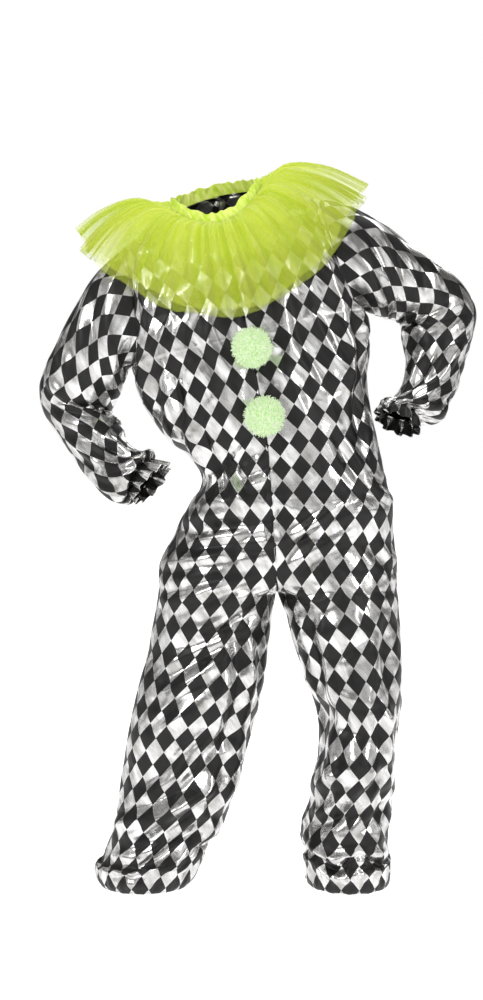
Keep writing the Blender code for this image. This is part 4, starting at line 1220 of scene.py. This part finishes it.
def make_net():
    """Net: threads between small holes, denser in the gathers and near the band, with painted shade and highlight
    across the gathers and a painted glow.
    """
    material, tree, shader = new_material("gathered_net")
    place = flat_place(tree)
    cells = node(tree, "ShaderNodeTexVoronoi", {"Vector": place, "Scale": HOLES}, feature="DISTANCE_TO_EDGE")
    thread = spread(tree, cells.outputs["Distance"], 0.10, 0.22, 1, 0)
    add_crinkle(tree, shader, 22.0, 700.0, 0.25, 0.003)
    drawn = node(tree, "ShaderNodeMapping", {"Vector": place, "Scale": (GATHERS_A_METRE, 4.0, 1.0)})
    gather = node(tree, "ShaderNodeTexNoise", {"Vector": drawn.outputs[0], "Scale": 1.0, "Detail": 2.0})
    pleat_shade_and_density = spread(tree, gather.outputs[0], 0.38, 0.62, 0, 1)
    down = node(tree, "ShaderNodeSeparateXYZ", {0: place}).outputs["Y"]
    near_band = maths(tree, "POWER", spread(tree, down, -NET_DEPTH, 0, 0, 1), 1.6)
    cover = maths(tree, "MULTIPLY", spread(tree, near_band, 0, 1, 0.16, 0.62), spread(tree, pleat_shade_and_density, 0, 1, 1.25, 0.72))
    # Across the noise of the gathers the colour runs from a darker to a lighter yellow-green: painted shade in the
    # gathers' hollows and a painted highlight on their ridges. The same noise makes the net denser in the gathers.
    put(tree, shader, {
        "Base Color": blend_colours(tree, pleat_shade_and_density, (0.55, 0.69, 0.01, 1), (0.84, 0.93, 0.12, 1)),
        "Alpha": maths(tree, "MULTIPLY", cover, spread(tree, thread, 0, 1, 0.62, 1.25)),
        "Roughness": 0.5, "Sheen Weight": 0.4,
        # The net's emission is a painted glow; the net is no lamp.
        "Emission Color": (0.75, 0.90, 0.03, 1), "Emission Strength": 0.08,
    })
    return material


# %% Band satin, light green yarn with a painted glow, and sewing thread, dark on the suit and green on the band
def tinted(name, crinkle, colours, **inputs):
    """A crinkled material whose colour drifts between two tones, with its shader's other inputs."""
    material, tree, shader = new_material(name)
    cloud = add_crinkle(tree, shader, *crinkle)
    others = {key.replace("_", " "): value for key, value in inputs.items()}
    put(tree, shader, {"Base Color": tones(tree, cloud, *colours), **others})
    return material


THREAD_CRINKLE = (300.0, 2500.0, 0.5, 0.0005)
FINISHES = {
    "harlequin": harlequin,
    "net": make_net(),
    "band": tinted("band_satin", (90.0, 1200.0, 0.6, 0.004),
                   (0.38, 0.62, (0.60, 0.84, 0.03, 1), (0.90, 1.0, 0.24, 1)),
                   Roughness=0.36, Sheen_Weight=0.3),
    # The pompom yarn's emission is a painted glow that brightens its self-shadowed strands; the yarn is no lamp.
    "pompom": tinted("pompom_yarn", (160.0, 1500.0, 0.3, 0.001),
                     (0.35, 0.65, (0.60, 0.88, 0.42, 1), (0.96, 1.0, 0.88, 1)),
                     Roughness=0.6, Sheen_Weight=0.5, Emission_Color=(0.80, 1.0, 0.50, 1), Emission_Strength=0.16),
}
THREADS = {
    "harlequin": tinted("dark_thread", THREAD_CRINKLE, (0.35, 0.65, (0.03, 0.03, 0.03, 1), (0.07, 0.07, 0.07, 1)),
                        Roughness=0.55),
    "band": tinted("green_thread", THREAD_CRINKLE, (0.35, 0.65, (0.45, 0.66, 0.02, 1), (0.60, 0.80, 0.08, 1)),
                   Roughness=0.55),
}
print("materials:", len(FINISHES) + len(THREADS))

# %% Each piece gets its finish
SLOTS = {"collar_upper": "net", "collar_lower": "net", "neck_band": "band",
         "pompom_upper": "pompom", "pompom_lower": "pompom"}
for made, materials in ((suit, FINISHES), (threads, THREADS)):
    for name, piece in made.items():
        slot = SLOTS.get(name, "harlequin")
        piece.data.materials.clear()
        piece.data.materials.append(materials[slot])
print("pieces with a finish:", len(suit) + len(threads))

# %% [markdown]
# ## The studio
# The photograph was taken from the front at the height of the chest, in broad soft light on white. Large area
# lights and a pale world give the foil something bright to show, and darker gaps between the lights give it
# its streaks.

# %% The floor
FLOOR_HEIGHT, FLOOR_REACH = -1.50, 30
built = bmesh.new()
bmesh.ops.create_grid(built, x_segments=1, y_segments=1, size=FLOOR_REACH)
bmesh.ops.translate(built, verts=built.verts, vec=(0, 0, FLOOR_HEIGHT))
floor = add_mesh("floor", built, rounded=False)
pale, tree, shader = new_material("pale_floor")
place = node(tree, "ShaderNodeTexCoord").outputs["Object"]
far = node(tree, "ShaderNodeVectorMath", {0: place}, operation="LENGTH").outputs["Value"]
seen = node(tree, "ShaderNodeLightPath").outputs["Is Camera Ray"]
faded = maths(tree, "MULTIPLY", seen, spread(tree, far, 2, 9, 0.05, 0.4))
put(tree, shader, {
    "Base Color": (0.88, 0.88, 0.88, 1), "Roughness": 0.7,
    "Emission Color": (1, 1, 1, 1), "Emission Strength": maths(tree, "ADD", faded, 0.6),
})
floor.data.materials.append(pale)
floor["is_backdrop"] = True
print("floor at", FLOOR_HEIGHT, "m")

# %% Lights: place, aim, width and height, power
LIGHTS = {
    "key": ((-2.2, -3.2, 1.6), (0, 0, -0.6), (1.0, 2.2), 60),
    "fill": ((2.6, -2.6, 0.8), (0, 0, -0.7), (0.6, 2.4), 30),
    "top": ((0.2, 0.4, 2.6), (0, 0, -0.5), (2.2, 2.2), 40),
    "rim": ((1.2, 3.0, 1.0), (0, 0, -0.5), (1.6, 2.4), 30),
}
for name, (place, aim, size, power) in LIGHTS.items():
    data = bpy.data.lights.new(name, "AREA")
    data.shape, data.size, data.size_y, data.energy = "RECTANGLE", *size, power
    light = add_object(name, data)
    light.location = place
    light.rotation_euler = (Vector(aim) - Vector(place)).to_track_quat("-Z", "Y").to_euler()
print("lights:", list(LIGHTS))

# %% World and camera
world = bpy.data.worlds.new("studio")
world.use_nodes = True
bpy.context.scene.world = world
tree = world.node_tree
place = node(tree, "ShaderNodeTexCoord").outputs["Generated"]
patches = node(tree, "ShaderNodeTexNoise", {"Vector": place, "Scale": 2.4, "Detail": 1}).outputs[0]
room = tones(tree, patches, 0.49, 0.57, (0.07, 0.065, 0.06, 1), (0.8, 0.8, 0.8, 1))
seen = node(tree, "ShaderNodeLightPath").outputs["Is Camera Ray"]
put(tree, tree.nodes["Background"], {"Color": blend_colours(tree, seen, room, (1, 1, 1, 1)), "Strength": 1.0})
bpy.context.scene.view_settings.view_transform = "Standard"

camera_data = bpy.data.cameras.new("camera")
camera_data.sensor_fit, camera_data.sensor_height = "VERTICAL", 24
camera_data.lens, camera_data.shift_y = 48, -0.096
camera = add_object("camera", camera_data)
camera.location = (0.051, -4.0, -0.380)
camera.rotation_euler = (math.pi / 2, 0, 0)
bpy.context.scene.camera = camera
print("camera at", tuple(camera.location))

new_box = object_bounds()
for word, box in (("cad", cad_box), ("visual", new_box)):
    print(word, [[round(number, 3) for number in corner] for corner in box])
